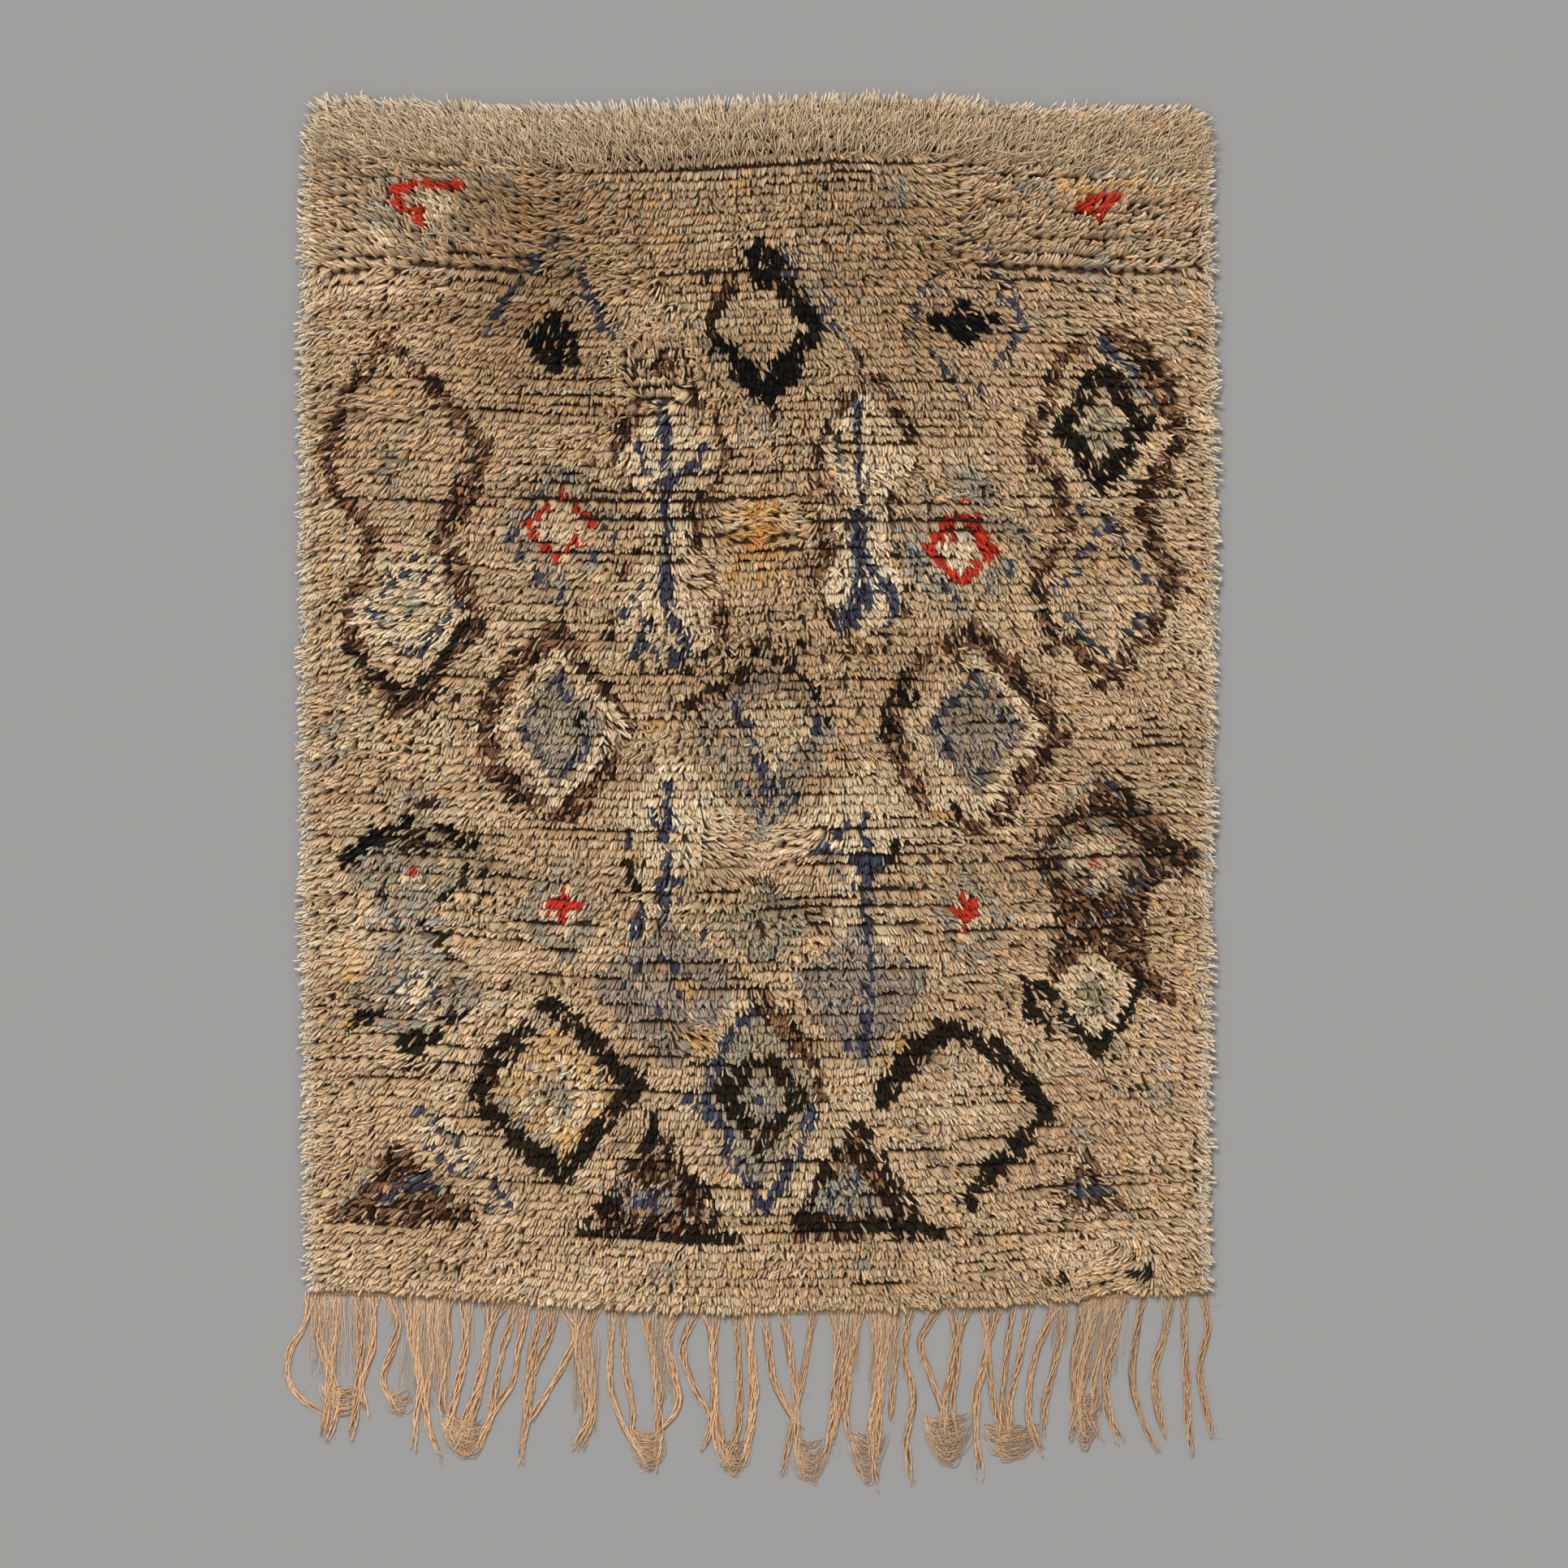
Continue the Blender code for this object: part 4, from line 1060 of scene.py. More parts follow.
def strand_shape(x, y, z, heading, reach, crest, tip, half_width, curl, stages):
    """Rings of points round each strand's middle line, and its tip.

    The middle line leaves the root steeply, levels at the crest and droops to the tip, and curl bends
    it aside as the square of the way along. Each ring is a circle of three points, in the plane of
    the sideways direction and the normal of the middle line, flattened a little.
    """
    out = reach[:, None] * stages.reach
    aside = curl[:, None] * out * stages.reach
    rise = z[:, None] + (crest - z)[:, None] * stages.rise
    height = np.concatenate((rise, tip[:, None]), axis=1)
    cos = np.cos(heading)[:, None]
    sin = np.sin(heading)[:, None]
    middle_x = x[:, None] + out * cos - aside * sin
    middle_y = y[:, None] + out * sin + aside * cos
    middle = np.stack((middle_x, middle_y, height), axis=-1)
    run_out = np.diff(out, axis=1)
    run_up = np.diff(height, axis=1)
    steep = np.hypot(run_out, run_up)
    lean = run_up / steep
    level = run_out / steep
    normal = np.stack((-lean * cos, -lean * sin, level), axis=-1)
    sideways = np.stack((-sin, cos, np.zeros_like(sin)), axis=-1)
    width = (half_width[:, None] * stages.width)[:, :, None, None]
    rings = middle[:, :-1, None, :] + width * (
        np.cos(TURNS)[None, None, :, None] * sideways[:, :, None, :]
        + stages.flatness * np.sin(TURNS)[None, None, :, None] * normal[:, :, None, :]
    )
    return rings, middle[:, -1]


def strand_faces(rings, sides):
    """One strand's faces as point numbers, and each corner's place in the strand's own flat net:
    walls of four corners, a fan to the tip, and the root's cap set apart at the net's top."""
    ring, side = np.divmod(np.arange((rings - 1) * sides), sides)
    beside = (side + 1) % sides
    here = ring * sides
    walls = np.stack((here + side, here + beside, here + sides + beside, here + sides + side), axis=1)
    wall_net = np.stack((side, ring, side + 1, ring, side + 1, ring + 1, side, ring + 1), axis=1)
    side = np.arange(sides)
    last = (rings - 1) * sides
    fan = np.stack((last + side, last + (side + 1) % sides, np.full(sides, rings * sides)), axis=1)
    base = np.full(sides, last / sides)
    fan_net = np.stack((side, base, side + 1, base, side + 0.5, base + 0.8), axis=1)
    turn = math.tau * side[::-1] / sides
    cap_net = np.stack((0.5 + 0.16 * np.cos(turn), 0.95 + 0.03 * np.sin(turn)), axis=1)
    net = np.concatenate((wall_net.reshape(-1, 2), fan_net.reshape(-1, 2))) * (1.0 / sides, 0.9 / rings)
    corners = np.concatenate((walls.ravel(), fan.ravel(), side[::-1]))
    sizes = np.concatenate((np.full(len(walls), 4), np.full(len(fan), 3), [sides]))
    return corners, sizes, np.concatenate((net, cap_net))


def add_strands(name, rings, tips, tints, shades, material, along=None):
    """Many closed strands as one piece, with a tint for each strand, a shade for each of its rings and
    its tip, a map of threads for the material, and a cell of its own in a second map, OFBake. The
    tint's fourth number is the share of the way along, or 1 all over for strands with no dark root."""
    count, ring_count, sides, _ = rings.shape
    corners, sizes, net = strand_faces(ring_count, sides)
    points = np.concatenate((rings.reshape(count, -1, 3), tips[:, None]), axis=1)
    numbers = np.arange(count)[:, None] * points.shape[1] + corners
    sizes = np.tile(sizes, count)
    mesh = bpy.data.meshes.new(name)
    mesh.vertices.add(count * points.shape[1])
    mesh.vertices.foreach_set("co", points.ravel())
    mesh.loops.add(numbers.size)
    mesh.loops.foreach_set("vertex_index", numbers.ravel())
    mesh.polygons.add(len(sizes))
    mesh.polygons.foreach_set("loop_start", np.cumsum(sizes) - sizes)
    mesh.polygons.foreach_set("use_smooth", np.ones(len(sizes), dtype=bool))
    mesh.update(calc_edges=True)

    seeds = np.random.default_rng(count)
    length = np.linalg.norm(tips - rings[:, 0].mean(axis=1), axis=1)
    thread = net[None] * np.stack((np.full(count, 0.015), length * 1.1), axis=1)[:, None]
    thread = thread + seeds.uniform(0.0, 4.0, (count, 1, 2))
    mesh.uv_layers.new(name="thread").data.foreach_set("uv", thread.ravel())
    cells = math.ceil(math.sqrt(count))
    cell = np.stack(np.divmod(np.arange(count), cells), axis=1)
    baked = (cell[:, None] + 0.06 + 0.88 * net[None]) / cells
    mesh.uv_layers.new(name="OFBake").data.foreach_set("uv", baked.ravel())

    def for_each_point(values):
        """Values for each ring and the tip, given to each of a ring's points."""
        return np.concatenate((np.repeat(values[:, :-1], sides, axis=1), values[:, -1:]), axis=1)

    colour = np.ones((count, points.shape[1], 4))
    colour[:, :, :3] = tints[:, None, :] * for_each_point(shades)[:, :, None] ** WARM_SHADE
    if along is not None:
        colour[:, :, 3] = for_each_point(along)
    mesh.color_attributes.new("tint", "FLOAT_COLOR", "POINT").data.foreach_set("color", colour.ravel())
    mesh.materials.append(material)
    piece = bpy.data.objects.new(name, mesh)
    bpy.context.scene.collection.objects.link(piece)
    return piece


def yarn_material(name, sheen, fibre, depth):
    """Wool yarn: its tint, crossed by fine fibres that run along the thread, in tone and in relief,
    and painted deep warm shade where the yarn leaves its knot."""
    material = bpy.data.materials.new(name)
    shader, start = wool_shader(material, sheen)
    tint = start.node("Attribute", {"attribute_name": "tint"}, output="Color")
    along = start.node("Attribute", {"attribute_name": "tint"}, output="Alpha")
    ends = {"Value": along, "From Min": DARK_UP_TO, "From Max": LIT_FROM}
    lit = start.node("MapRange", {"interpolation_type": "SMOOTHSTEP"}, ends)
    place = start.node("UVMap", {"uv_map": "thread"}, output="UV")
    fibres = place.scaled((1.0 / fibre, 0.12 / fibre, 1.0)).noise(1.0, 2.0)
    wisps = place.scaled((0.45 / fibre, 0.10 / fibre, 1.0)).noise(1.0, 1.0)
    tone = 0.45 + 0.75 * fibres + 0.35 * wisps
    grey = start.node("CombineColor", None, {"Red": tone, "Green": tone, "Blue": tone})
    whole = start.node("Value")
    whole.socket.default_value = 1.0
    wool = whole.colour_mix(tint, grey, "MULTIPLY")
    shaded = whole.colour_mix(wool, ROOT_SHADE, "MULTIPLY")
    connect(lit.colour_mix(shaded, wool), shader, "Base Color")
    bump = start.node("Bump", None, {"Strength": 0.7, "Distance": depth, "Height": fibres + 0.5 * wisps})
    connect(bump, shader, "Normal")
    return material


def yarn_tints(wool_numbers):
    """Each yarn's linear tint: its wool's tone, or its fleck's, with a change of brightness and warmth."""
    tones = np.array([linear(WOOLS[name].tone) for name in NAMES])
    uneven = np.array([WOOLS[name].unevenness for name in NAMES])
    fleck = np.array([NAMES.index(WOOLS[name].fleck) for name in NAMES])
    fleck_share = np.array([WOOLS[name].fleck_share for name in NAMES])
    flecked = chance.uniform(size=wool_numbers.shape) < fleck_share[wool_numbers]
    chosen = np.where(flecked, fleck[wool_numbers], wool_numbers)
    change = 1.0 + uneven[chosen] * chance.normal(size=chosen.shape)
    warmth = 1.0 + 0.05 * chance.normal(size=chosen.shape)
    tint = tones[chosen] * np.clip(change, 0.4, 1.7)[..., None]
    return tint * np.stack((warmth, np.ones_like(warmth), 1.0 / warmth), axis=-1)


pile_material = yarn_material("pile_wool_yarn", 0.03, 0.0010, 0.0005)

# Each yarn's heights, reach, width and bend: hand-spun wool is uneven, and it lies lower by a gape.
root_z = np.full(root_x.shape, ROOT_HEIGHT)
lumps = (
    np.sin(7.1 * root_x + 3.0 * root_y + 0.4)
    + np.sin(4.3 * root_x - 9.7 * root_y + 1.9)
    + np.sin(13.0 * root_x + 6.1 * root_y + 2.2)
) / 3.0
crest_z = CREST_HEIGHT + 0.0010 * lumps + 0.0011 * drift(root_x, root_y, 0.05, 0.03, 61)
plain_end = ease((root_y - upper_parting(root_x)) / PLAIN_END_BLEND)
crest_z = crest_z + 0.0005 * (1.0 - 0.4 * plain_end) * chance.normal(size=root_x.shape) - 0.0016 * gape
tip_z = TIP_HEIGHT + 0.0010 * chance.normal(size=root_x.shape) - 0.0030 * gape
down_reach = ROW_REACH * (1.0 + 0.09 * drift(root_x, root_y, 0.04, 0.03, 62))
down_reach = down_reach * (1.0 + 0.11 * chance.normal(size=root_x.shape)) - 0.0105 * gape
down_reach = down_reach * (1.0 + 0.45 * plain_end)
reach = down_reach / np.maximum(np.abs(np.sin(heading)), 0.3)
reach = np.clip(reach, SHORTEST_REACH, LONGEST_REACH + PLAIN_END_LONGER * plain_end)
crest_z = np.clip(crest_z, *CREST_RANGE)
tip_z = np.clip(tip_z, *TIP_RANGE)
half_width = HALF_WIDTH * np.clip(1.0 + 0.18 * chance.normal(size=root_x.shape), 0.5, 1.6)
half_width = half_width * (1.0 - 0.25 * plain_end)
curl = 0.25 * drift(root_x, root_y, 0.03, 0.02, 63) + 0.16 * chance.normal(size=root_x.shape)

# Its tone: the wool's own, changed along the rows, by wear and painted shade in patches, by fading, and by
# a painted highlight at the rim.
pile_tint = yarn_tints(dye)
row_tone = 1.0 + 0.10 * drift(root_x, 3.0 * row_number, 0.30, 1.0, 64)
row_tone = row_tone + 0.05 * drift(root_x, root_y, 0.21, 0.13, 65)
for wear_and_shading in WEAR_AND_SHADING:
    spread = ((root_x - wear_and_shading.x) / wear_and_shading.radius_x) ** 2 + ((root_y - wear_and_shading.y) / wear_and_shading.radius_y) ** 2
    row_tone = row_tone + wear_and_shading.gain * np.exp(-spread)
pile_tint = pile_tint * row_tone[..., None] ** WARM_SHADE
faded = plain_end * ease((0.95 - root_x) / 1.4)
pile_tint = pile_tint * (1.0 + faded[..., None] * WORN_PALE)
left, right = side_x(root_y)
to_rim = np.minimum(np.minimum(root_x - left, right - root_x), 1.4 * (top_y(root_x) - root_y))
rim_highlight_mask = 1.0 - ease(to_rim / RIM_HIGHLIGHT_WIDTH)
rim_highlight_mix = RIM_HIGHLIGHT_SHARE * rim_highlight_mask[..., None]
pile_tint = pile_tint * (1.0 - rim_highlight_mix) + linear(RIM_HIGHLIGHT_TONE) * rim_highlight_mix
# Painted root shade is lifted by the rim and at the plain end.
lifted = 0.22 * np.maximum(rim_highlight_mask, 0.6 * plain_end)

yarn_measures = (root_x, root_y, root_z, heading, reach, crest_z, tip_z, half_width, curl)
for number in range(PILE_PIECES):
    rows = slice(number, ROWS, PILE_PIECES)
    rings, tips = strand_shape(*(measure[rows].ravel() for measure in yarn_measures), YARN_STAGES)
    # Painted shade: a yarn's tip darkens over a gaping groove, and its root darkens where the groove
    # behind it gapes.
    shades = YARN_STAGES.shade * (1.0 - np.array([0.0, 0.0, 0.40]) * gape[rows].reshape(-1, 1))
    shades = shades * (1.0 - np.array([0.70, 0.12, 0.0]) * gape_behind[rows].reshape(-1, 1))
    tints = pile_tint[rows].reshape(-1, 3)
    name = f"pile_yarns_{number + 1}"
    along = YARN_STAGES.reach + lifted[rows].reshape(-1, 1)
    piece = add_strands(name, rings, tips, tints, shades, pile_material, along)
    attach(piece, "root")
    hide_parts("pile")

# Under them lies the knots' own body: the pressed lower part of two neighbouring knots' yarns, which
# closes the chinks between the yarns with the same wool, darkened all over as painted shade and more where
# a groove gapes.
lap = slice(SHARED, YARNS, 2 * SHARED)
rings, tips = strand_shape(
    root_x[:, lap].ravel(),
    root_y[:, lap].ravel(),
    (root_z[:, lap] - LAP_DEPTH).ravel(),
    heading[:, lap].ravel(),
    (LAP_REACH_SHARE * reach[:, lap]).ravel(),
    (crest_z[:, lap] - LAP_DEPTH).ravel(),
    (tip_z[:, lap] - LAP_DEPTH).ravel(),
    np.full(root_x[:, lap].size, LAP_HALF_WIDTH),
    curl[:, lap].ravel(),
    LAP_STAGES,
)
tints = pile_tint[:, lap].reshape(-1, 3)
shades = LAP_STAGES.shade * (1.0 - np.array([0.30, 0.10, 0.40]) * gape[:, lap].reshape(-1, 1))
along = LAP_STAGES.reach + lifted[:, lap].reshape(-1, 1)
pile_laps = add_strands("pile_laps", rings, tips, tints, shades, pile_material, along)
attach(pile_laps, "root")
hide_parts("pile")


# The loose edges: at both sides and at the plain end the outermost yarns have no neighbour to lean
# on, so they spill outwards over the rim, and a painted highlight makes them paler there.
EDGE_YARNS = 14
EDGE_REACH = 0.0155
SIDE_REACH_SHARE = 0.85
PLAIN_END_YARNS = 4400
PLAIN_END_DEPTH = 0.088
PLAIN_END_SPAN = (-0.712, 0.742)
LOWER_END_YARNS = 700
LOWER_END_SPAN = (-0.715, 0.745)


def edge_yarns(x, y, z, towards, pale, reach_share):
    """Slender yarns that leave the rim, low and nearly level, each with a small change of heading."""
    count = len(x)
    turned = towards + 0.22 * chance.normal(size=count)
    long = EDGE_REACH * reach_share * np.clip(1.0 + 0.15 * chance.normal(size=count), 0.4, 1.4)
    crest = z + 0.0035 + 0.0012 * chance.normal(size=count)
    end = np.clip(z * chance.uniform(0.3, 1.0, count), 0.0015, 0.02)
    thin = HALF_WIDTH * chance.uniform(0.30, 0.60, count)
    bend = 0.5 * chance.normal(size=count)
    crest = np.clip(crest, 0.004, 0.020)
    rings, tips = strand_shape(x, y, z, turned, long, crest, end, thin, bend, YARN_STAGES)
    # Painted highlight: pale is the share of the rim's highlight tone mixed into the sand wool.
    tone = linear(WOOLS["sand"].tone) * (1.0 - pale[:, None]) + linear(RIM_HIGHLIGHT_TONE) * pale[:, None]
    tints = tone * np.clip(1.0 + 0.12 * chance.normal(size=count), 0.6, 1.4)[:, None]
    return rings, tips, tints


edge_parts = []
side_count = ROWS * EDGE_YARNS
for side, column in ((-1.0, 0), (1.0, YARNS - 1)):
    edge_x = np.repeat(root_x[:, column], EDGE_YARNS) + side * chance.uniform(-0.004, 0.006, side_count)
    edge_y = np.repeat(root_y[:, column], EDGE_YARNS) + chance.uniform(-0.007, 0.007, side_count)
    edge_z = chance.uniform(0.002, 0.010, side_count)
    towards = np.arctan2(-chance.uniform(0.2, 0.75, side_count), side)
    edge_highlight = chance.uniform(0.5, 1.0, side_count)
    edge_parts.append(edge_yarns(edge_x, edge_y, edge_z, towards, edge_highlight, SIDE_REACH_SHARE))
fur_x = chance.uniform(*PLAIN_END_SPAN, PLAIN_END_YARNS)
fur_deep = PLAIN_END_DEPTH * chance.uniform(0.0, 1.0, PLAIN_END_YARNS) ** 1.1
fur_y = top_y(fur_x) - 0.010 - fur_deep
fur_heading = np.arctan2(1.0, 1.2 * fur_x / RUG_HALF_WIDTH)
fur_z = 0.002 + 0.007 * chance.uniform(0.0, 1.0, PLAIN_END_YARNS)
fur_z = fur_z + np.clip(0.12 * fur_deep, 0.0, 0.0055)
fur_highlight = np.clip(0.9 - fur_deep / 0.02, 0.22, 1.0) * chance.uniform(0.3, 1.0, PLAIN_END_YARNS)
fur_reach_share = 1.1 + 0.9 * ease(fur_deep / 0.03)
edge_parts.append(edge_yarns(fur_x, fur_y, fur_z, fur_heading, fur_highlight, fur_reach_share))
hem_x = chance.uniform(*LOWER_END_SPAN, LOWER_END_YARNS)
low_y = bottom_y(hem_x) + chance.uniform(0.008, 0.018, LOWER_END_YARNS)
hem_z = chance.uniform(0.004, 0.010, LOWER_END_YARNS)
hem_heading = np.arctan2(-1.0, 0.7 * hem_x / RUG_HALF_WIDTH)
hem_highlight = chance.uniform(0.0, 0.4, LOWER_END_YARNS)
edge_parts.append(edge_yarns(hem_x, low_y, hem_z, hem_heading, hem_highlight, SIDE_REACH_SHARE))
edge_rings = np.concatenate([part[0] for part in edge_parts])
edge_tips = np.concatenate([part[1] for part in edge_parts])
edge_tints = np.concatenate([part[2] for part in edge_parts])
# Painted shade at each loose yarn's root and painted highlight towards its tip.
edge_shades = np.tile([0.80, 1.05, 1.15], (len(edge_tips), 1))
loose_edges = add_strands("loose_edges", edge_rings, edge_tips, edge_tints, edge_shades, pile_material)
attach(loose_edges, "root")
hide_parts("pile")


# The end band: a few picks of plain weave in undyed wool that hold the last row of knots. The warps
# run on out of it, and the lowest yarns of the pile hang over it.
BAND_GAP = 0.0003
BAND_WIDTH = 0.009
BAND_HEIGHT = 0.0034
BAND_SPAN = (-0.716, 0.744)
BAND_LIGHT = (196, 164, 126)
BAND_DARK = (128, 98, 68)
across, along = np.meshgrid(np.linspace(*BAND_SPAN, 180), np.linspace(0.0, 1.0, 6))
band_rear = bottom_y(across) - BAND_GAP
band_y = band_rear - (1.0 - along) * BAND_WIDTH
band_z = BAND_HEIGHT - 0.0012 * (2.0 * along - 1.0) ** 4 + 0.0003 * np.sin(900.0 * across)
band_material = weave_material("band_weave", BAND_LIGHT, BAND_DARK, 0.0026, 0.0006)
end_band = add_slab("end_band", across, band_y, band_z, band_material)
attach(end_band, "root")
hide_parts("fringe")


# The warp fringe: the warps' own ends, two-ply wool cut from the loom. They cling together in hanks
# that wander, cross and felt near their tips, with single threads astray between them.
Hank = namedtuple("Hank", "root upper middle lower tip length yarns")
HANKS = (
    Hank(-0.722, -0.731, -0.759, -0.752, -0.691, 0.211, 4),
    Hank(-0.707, -0.711, -0.692, -0.698, -0.707, 0.259, 4),
    Hank(-0.684, -0.682, -0.688, -0.680, -0.700, 0.252, 4),
    Hank(-0.644, -0.641, -0.643, -0.649, -0.660, 0.247, 5),
    Hank(-0.618, -0.619, -0.626, -0.639, -0.629, 0.208, 4),
    Hank(-0.598, -0.580, -0.590, -0.604, -0.587, 0.189, 4),
    Hank(-0.567, -0.557, -0.543, -0.548, -0.553, 0.264, 4),
    Hank(-0.544, -0.548, -0.541, -0.531, -0.504, 0.279, 4),
    Hank(-0.524, -0.528, -0.524, -0.532, -0.527, 0.211, 3),
    Hank(-0.507, -0.516, -0.504, -0.507, -0.501, 0.210, 3),
    Hank(-0.491, -0.497, -0.493, -0.498, -0.501, 0.138, 2),
    Hank(-0.467, -0.467, -0.475, -0.487, -0.502, 0.236, 5),
    Hank(-0.429, -0.432, -0.445, -0.464, -0.489, 0.252, 5),
    Hank(-0.404, -0.430, -0.439, -0.456, -0.462, 0.247, 4),
    Hank(-0.382, -0.402, -0.416, -0.427, -0.444, 0.248, 4),
    Hank(-0.369, -0.380, -0.389, -0.429, -0.452, 0.255, 4),
    Hank(-0.336, -0.358, -0.365, -0.370, -0.380, 0.272, 5),
    Hank(-0.320, -0.328, -0.349, -0.362, -0.365, 0.188, 3),
    Hank(-0.309, -0.290, -0.307, -0.336, -0.364, 0.200, 4),
    Hank(-0.278, -0.286, -0.276, -0.268, -0.291, 0.244, 5),
    Hank(-0.256, -0.270, -0.259, -0.261, -0.280, 0.244, 5),
    Hank(-0.224, -0.231, -0.228, -0.205, -0.158, 0.270, 4),
    Hank(-0.207, -0.210, -0.204, -0.193, -0.196, 0.225, 3),
    Hank(-0.176, -0.164, -0.152, -0.151, -0.153, 0.275, 5),
    Hank(-0.124, -0.137, -0.125, -0.119, -0.164, 0.214, 5),
    Hank(-0.089, -0.112, -0.095, -0.066, -0.082, 0.241, 4),
    Hank(-0.071, -0.062, -0.061, -0.060, -0.044, 0.260, 4),
    Hank(-0.056, -0.060, -0.058, -0.051, -0.035, 0.267, 3),
    Hank(-0.027, -0.020, -0.018, -0.024, -0.040, 0.266, 4),
    Hank(-0.004, -0.001, 0.002, 0.001, -0.022, 0.265, 4),
    Hank(-0.002, 0.002, 0.007, -0.002, -0.013, 0.253, 4),
    Hank(0.022, 0.029, 0.036, 0.060, 0.093, 0.210, 4),
    Hank(0.053, 0.064, 0.074, 0.076, 0.087, 0.265, 4),
    Hank(0.102, 0.093, 0.079, 0.064, 0.049, 0.275, 4),
    Hank(0.138, 0.143, 0.139, 0.131, 0.120, 0.256, 5),
    Hank(0.158, 0.157, 0.152, 0.143, 0.131, 0.229, 4),
    Hank(0.178, 0.169, 0.159, 0.158, 0.173, 0.240, 4),
    Hank(0.200, 0.208, 0.204, 0.196, 0.216, 0.305, 5),
    Hank(0.213, 0.212, 0.208, 0.199, 0.209, 0.258, 4),
    Hank(0.230, 0.223, 0.214, 0.209, 0.211, 0.258, 4),
    Hank(0.240, 0.238, 0.236, 0.232, 0.230, 0.195, 3),
    Hank(0.262, 0.252, 0.267, 0.256, 0.267, 0.293, 4),
    Hank(0.307, 0.280, 0.293, 0.313, 0.324, 0.213, 4),
    Hank(0.331, 0.335, 0.327, 0.316, 0.324, 0.230, 4),
    Hank(0.360, 0.342, 0.336, 0.333, 0.342, 0.230, 3),
    Hank(0.382, 0.389, 0.371, 0.372, 0.378, 0.293, 5),
    Hank(0.409, 0.392, 0.395, 0.407, 0.420, 0.266, 4),
    Hank(0.431, 0.424, 0.416, 0.414, 0.427, 0.235, 3),
    Hank(0.458, 0.447, 0.436, 0.424, 0.431, 0.235, 4),
    Hank(0.507, 0.476, 0.460, 0.458, 0.489, 0.266, 5),
    Hank(0.516, 0.510, 0.496, 0.482, 0.480, 0.235, 4),
    Hank(0.547, 0.536, 0.530, 0.533, 0.524, 0.240, 5),
    Hank(0.564, 0.553, 0.542, 0.540, 0.551, 0.236, 4),
    Hank(0.596, 0.580, 0.569, 0.564, 0.560, 0.219, 4),
    Hank(0.578, 0.560, 0.548, 0.547, 0.578, 0.240, 4),
    Hank(0.611, 0.598, 0.584, 0.587, 0.613, 0.250, 5),
    Hank(0.644, 0.633, 0.627, 0.640, 0.671, 0.262, 4),
    Hank(0.687, 0.681, 0.664, 0.667, 0.680, 0.240, 5),
    Hank(0.711, 0.713, 0.716, 0.718, 0.727, 0.273, 4),
    Hank(0.742, 0.751, 0.738, 0.747, 0.762, 0.247, 4),
)
FRINGE_TONE = (224, 184, 142)
FUZZ_HIGHLIGHT_TONE = (232, 206, 178)
BODY_SHADE_TONE = (176, 134, 94)
PALE_TO_THE_LEFT = 0.17
PLIES = 2
PLY_HALF = 0.00086
PLY_RINGS = 30
TWIST_LENGTH = 0.030
HANK_SPREAD = 0.0035
SLOW_TURN_LENGTH = 0.13
ROOT_SPACING = 0.0058
GATHER_DEPTH = 0.050
ROOT_IN_BAND = 0.004
FRINGE_SPAN = (-0.772, 0.775)


def tube_rings(middle, half_width, sides):
    """Rings of points round middle lines that lie on the floor: each ring stands across its line,
    from the sideways direction in plan and straight up, so a line never turns its tube over."""
    run = np.gradient(middle, axis=1)
    level = np.maximum(np.hypot(run[..., 0], run[..., 1]), 1e-9)
    sideways = np.stack((-run[..., 1] / level, run[..., 0] / level, np.zeros_like(level)), axis=-1)
    upward = np.cross(run, sideways)
    upward = upward / np.linalg.norm(upward, axis=-1, keepdims=True)
    turn = math.tau * (np.arange(sides) + 0.5) / sides
    wide = half_width[..., None, None]
    return middle[:, :, None, :] + wide * (
        np.cos(turn)[None, None, :, None] * sideways[:, :, None, :]
        + np.sin(turn)[None, None, :, None] * upward[:, :, None, :]
    )


def wandering(share, stops):
    """A smooth way through each row's stops, set at even shares of the whole: between two stops, the
    cubic whose slope at each is half the step from the stop before it to the stop after."""
    before_first = 2.0 * stops[:, :1] - stops[:, 1:2]
    after_last = 2.0 * stops[:, -1:] - stops[:, -2:-1]
    padded = np.concatenate((before_first, stops, after_last), axis=1)
    place = np.clip(share, 0.0, 0.9999) * (stops.shape[1] - 1)
    number = np.floor(place).astype(int)
    over = place - number
    one, two, three, four = (np.take_along_axis(padded, number + step, axis=1) for step in range(4))
    bend = 2.0 * one - 5.0 * two + 4.0 * three - four
    twist_back = 3.0 * two - one - 3.0 * three + four
    return two + 0.5 * ((three - one) * over + bend * over**2 + twist_back * over**3)


def hem_y(x):
    """Where the warps leave the end band."""
    return bottom_y(x) - BAND_GAP - BAND_WIDTH + ROOT_IN_BAND


yarns_in = np.array([hank.yarns for hank in HANKS])
of_hank = np.repeat(np.arange(len(HANKS)), yarns_in)
number_in_hank = np.concatenate([np.arange(yarns) for yarns in yarns_in])
from_middle = number_in_hank - (yarns_in[of_hank] - 1) / 2.0
yarn_facts = (of_hank, number_in_hank, from_middle)
of_hank, number_in_hank, from_middle = (np.repeat(fact, PLIES) for fact in yarn_facts)
ply_count = len(of_hank)
yarn_index = np.arange(ply_count) // PLIES
hank_length = np.array([hank.length for hank in HANKS])[of_hank][:, None]
step = np.linspace(0.0, 1.0, PLY_RINGS + 1)[None, :]
own_length = 1.0 - 0.13 * np.repeat(chance.uniform(size=ply_count // PLIES), PLIES)[:, None] ** 2
depth = step * own_length * hank_length
stops = np.array([hank[:5] for hank in HANKS])[of_hank]
gathered = ease(depth / GATHER_DEPTH)
slow_turn = math.tau * depth / SLOW_TURN_LENGTH + (2.4 * number_in_hank + 1.9 * of_hank)[:, None]
first_turn = math.pi * (np.arange(ply_count) % PLIES) + 1.7 * yarn_index
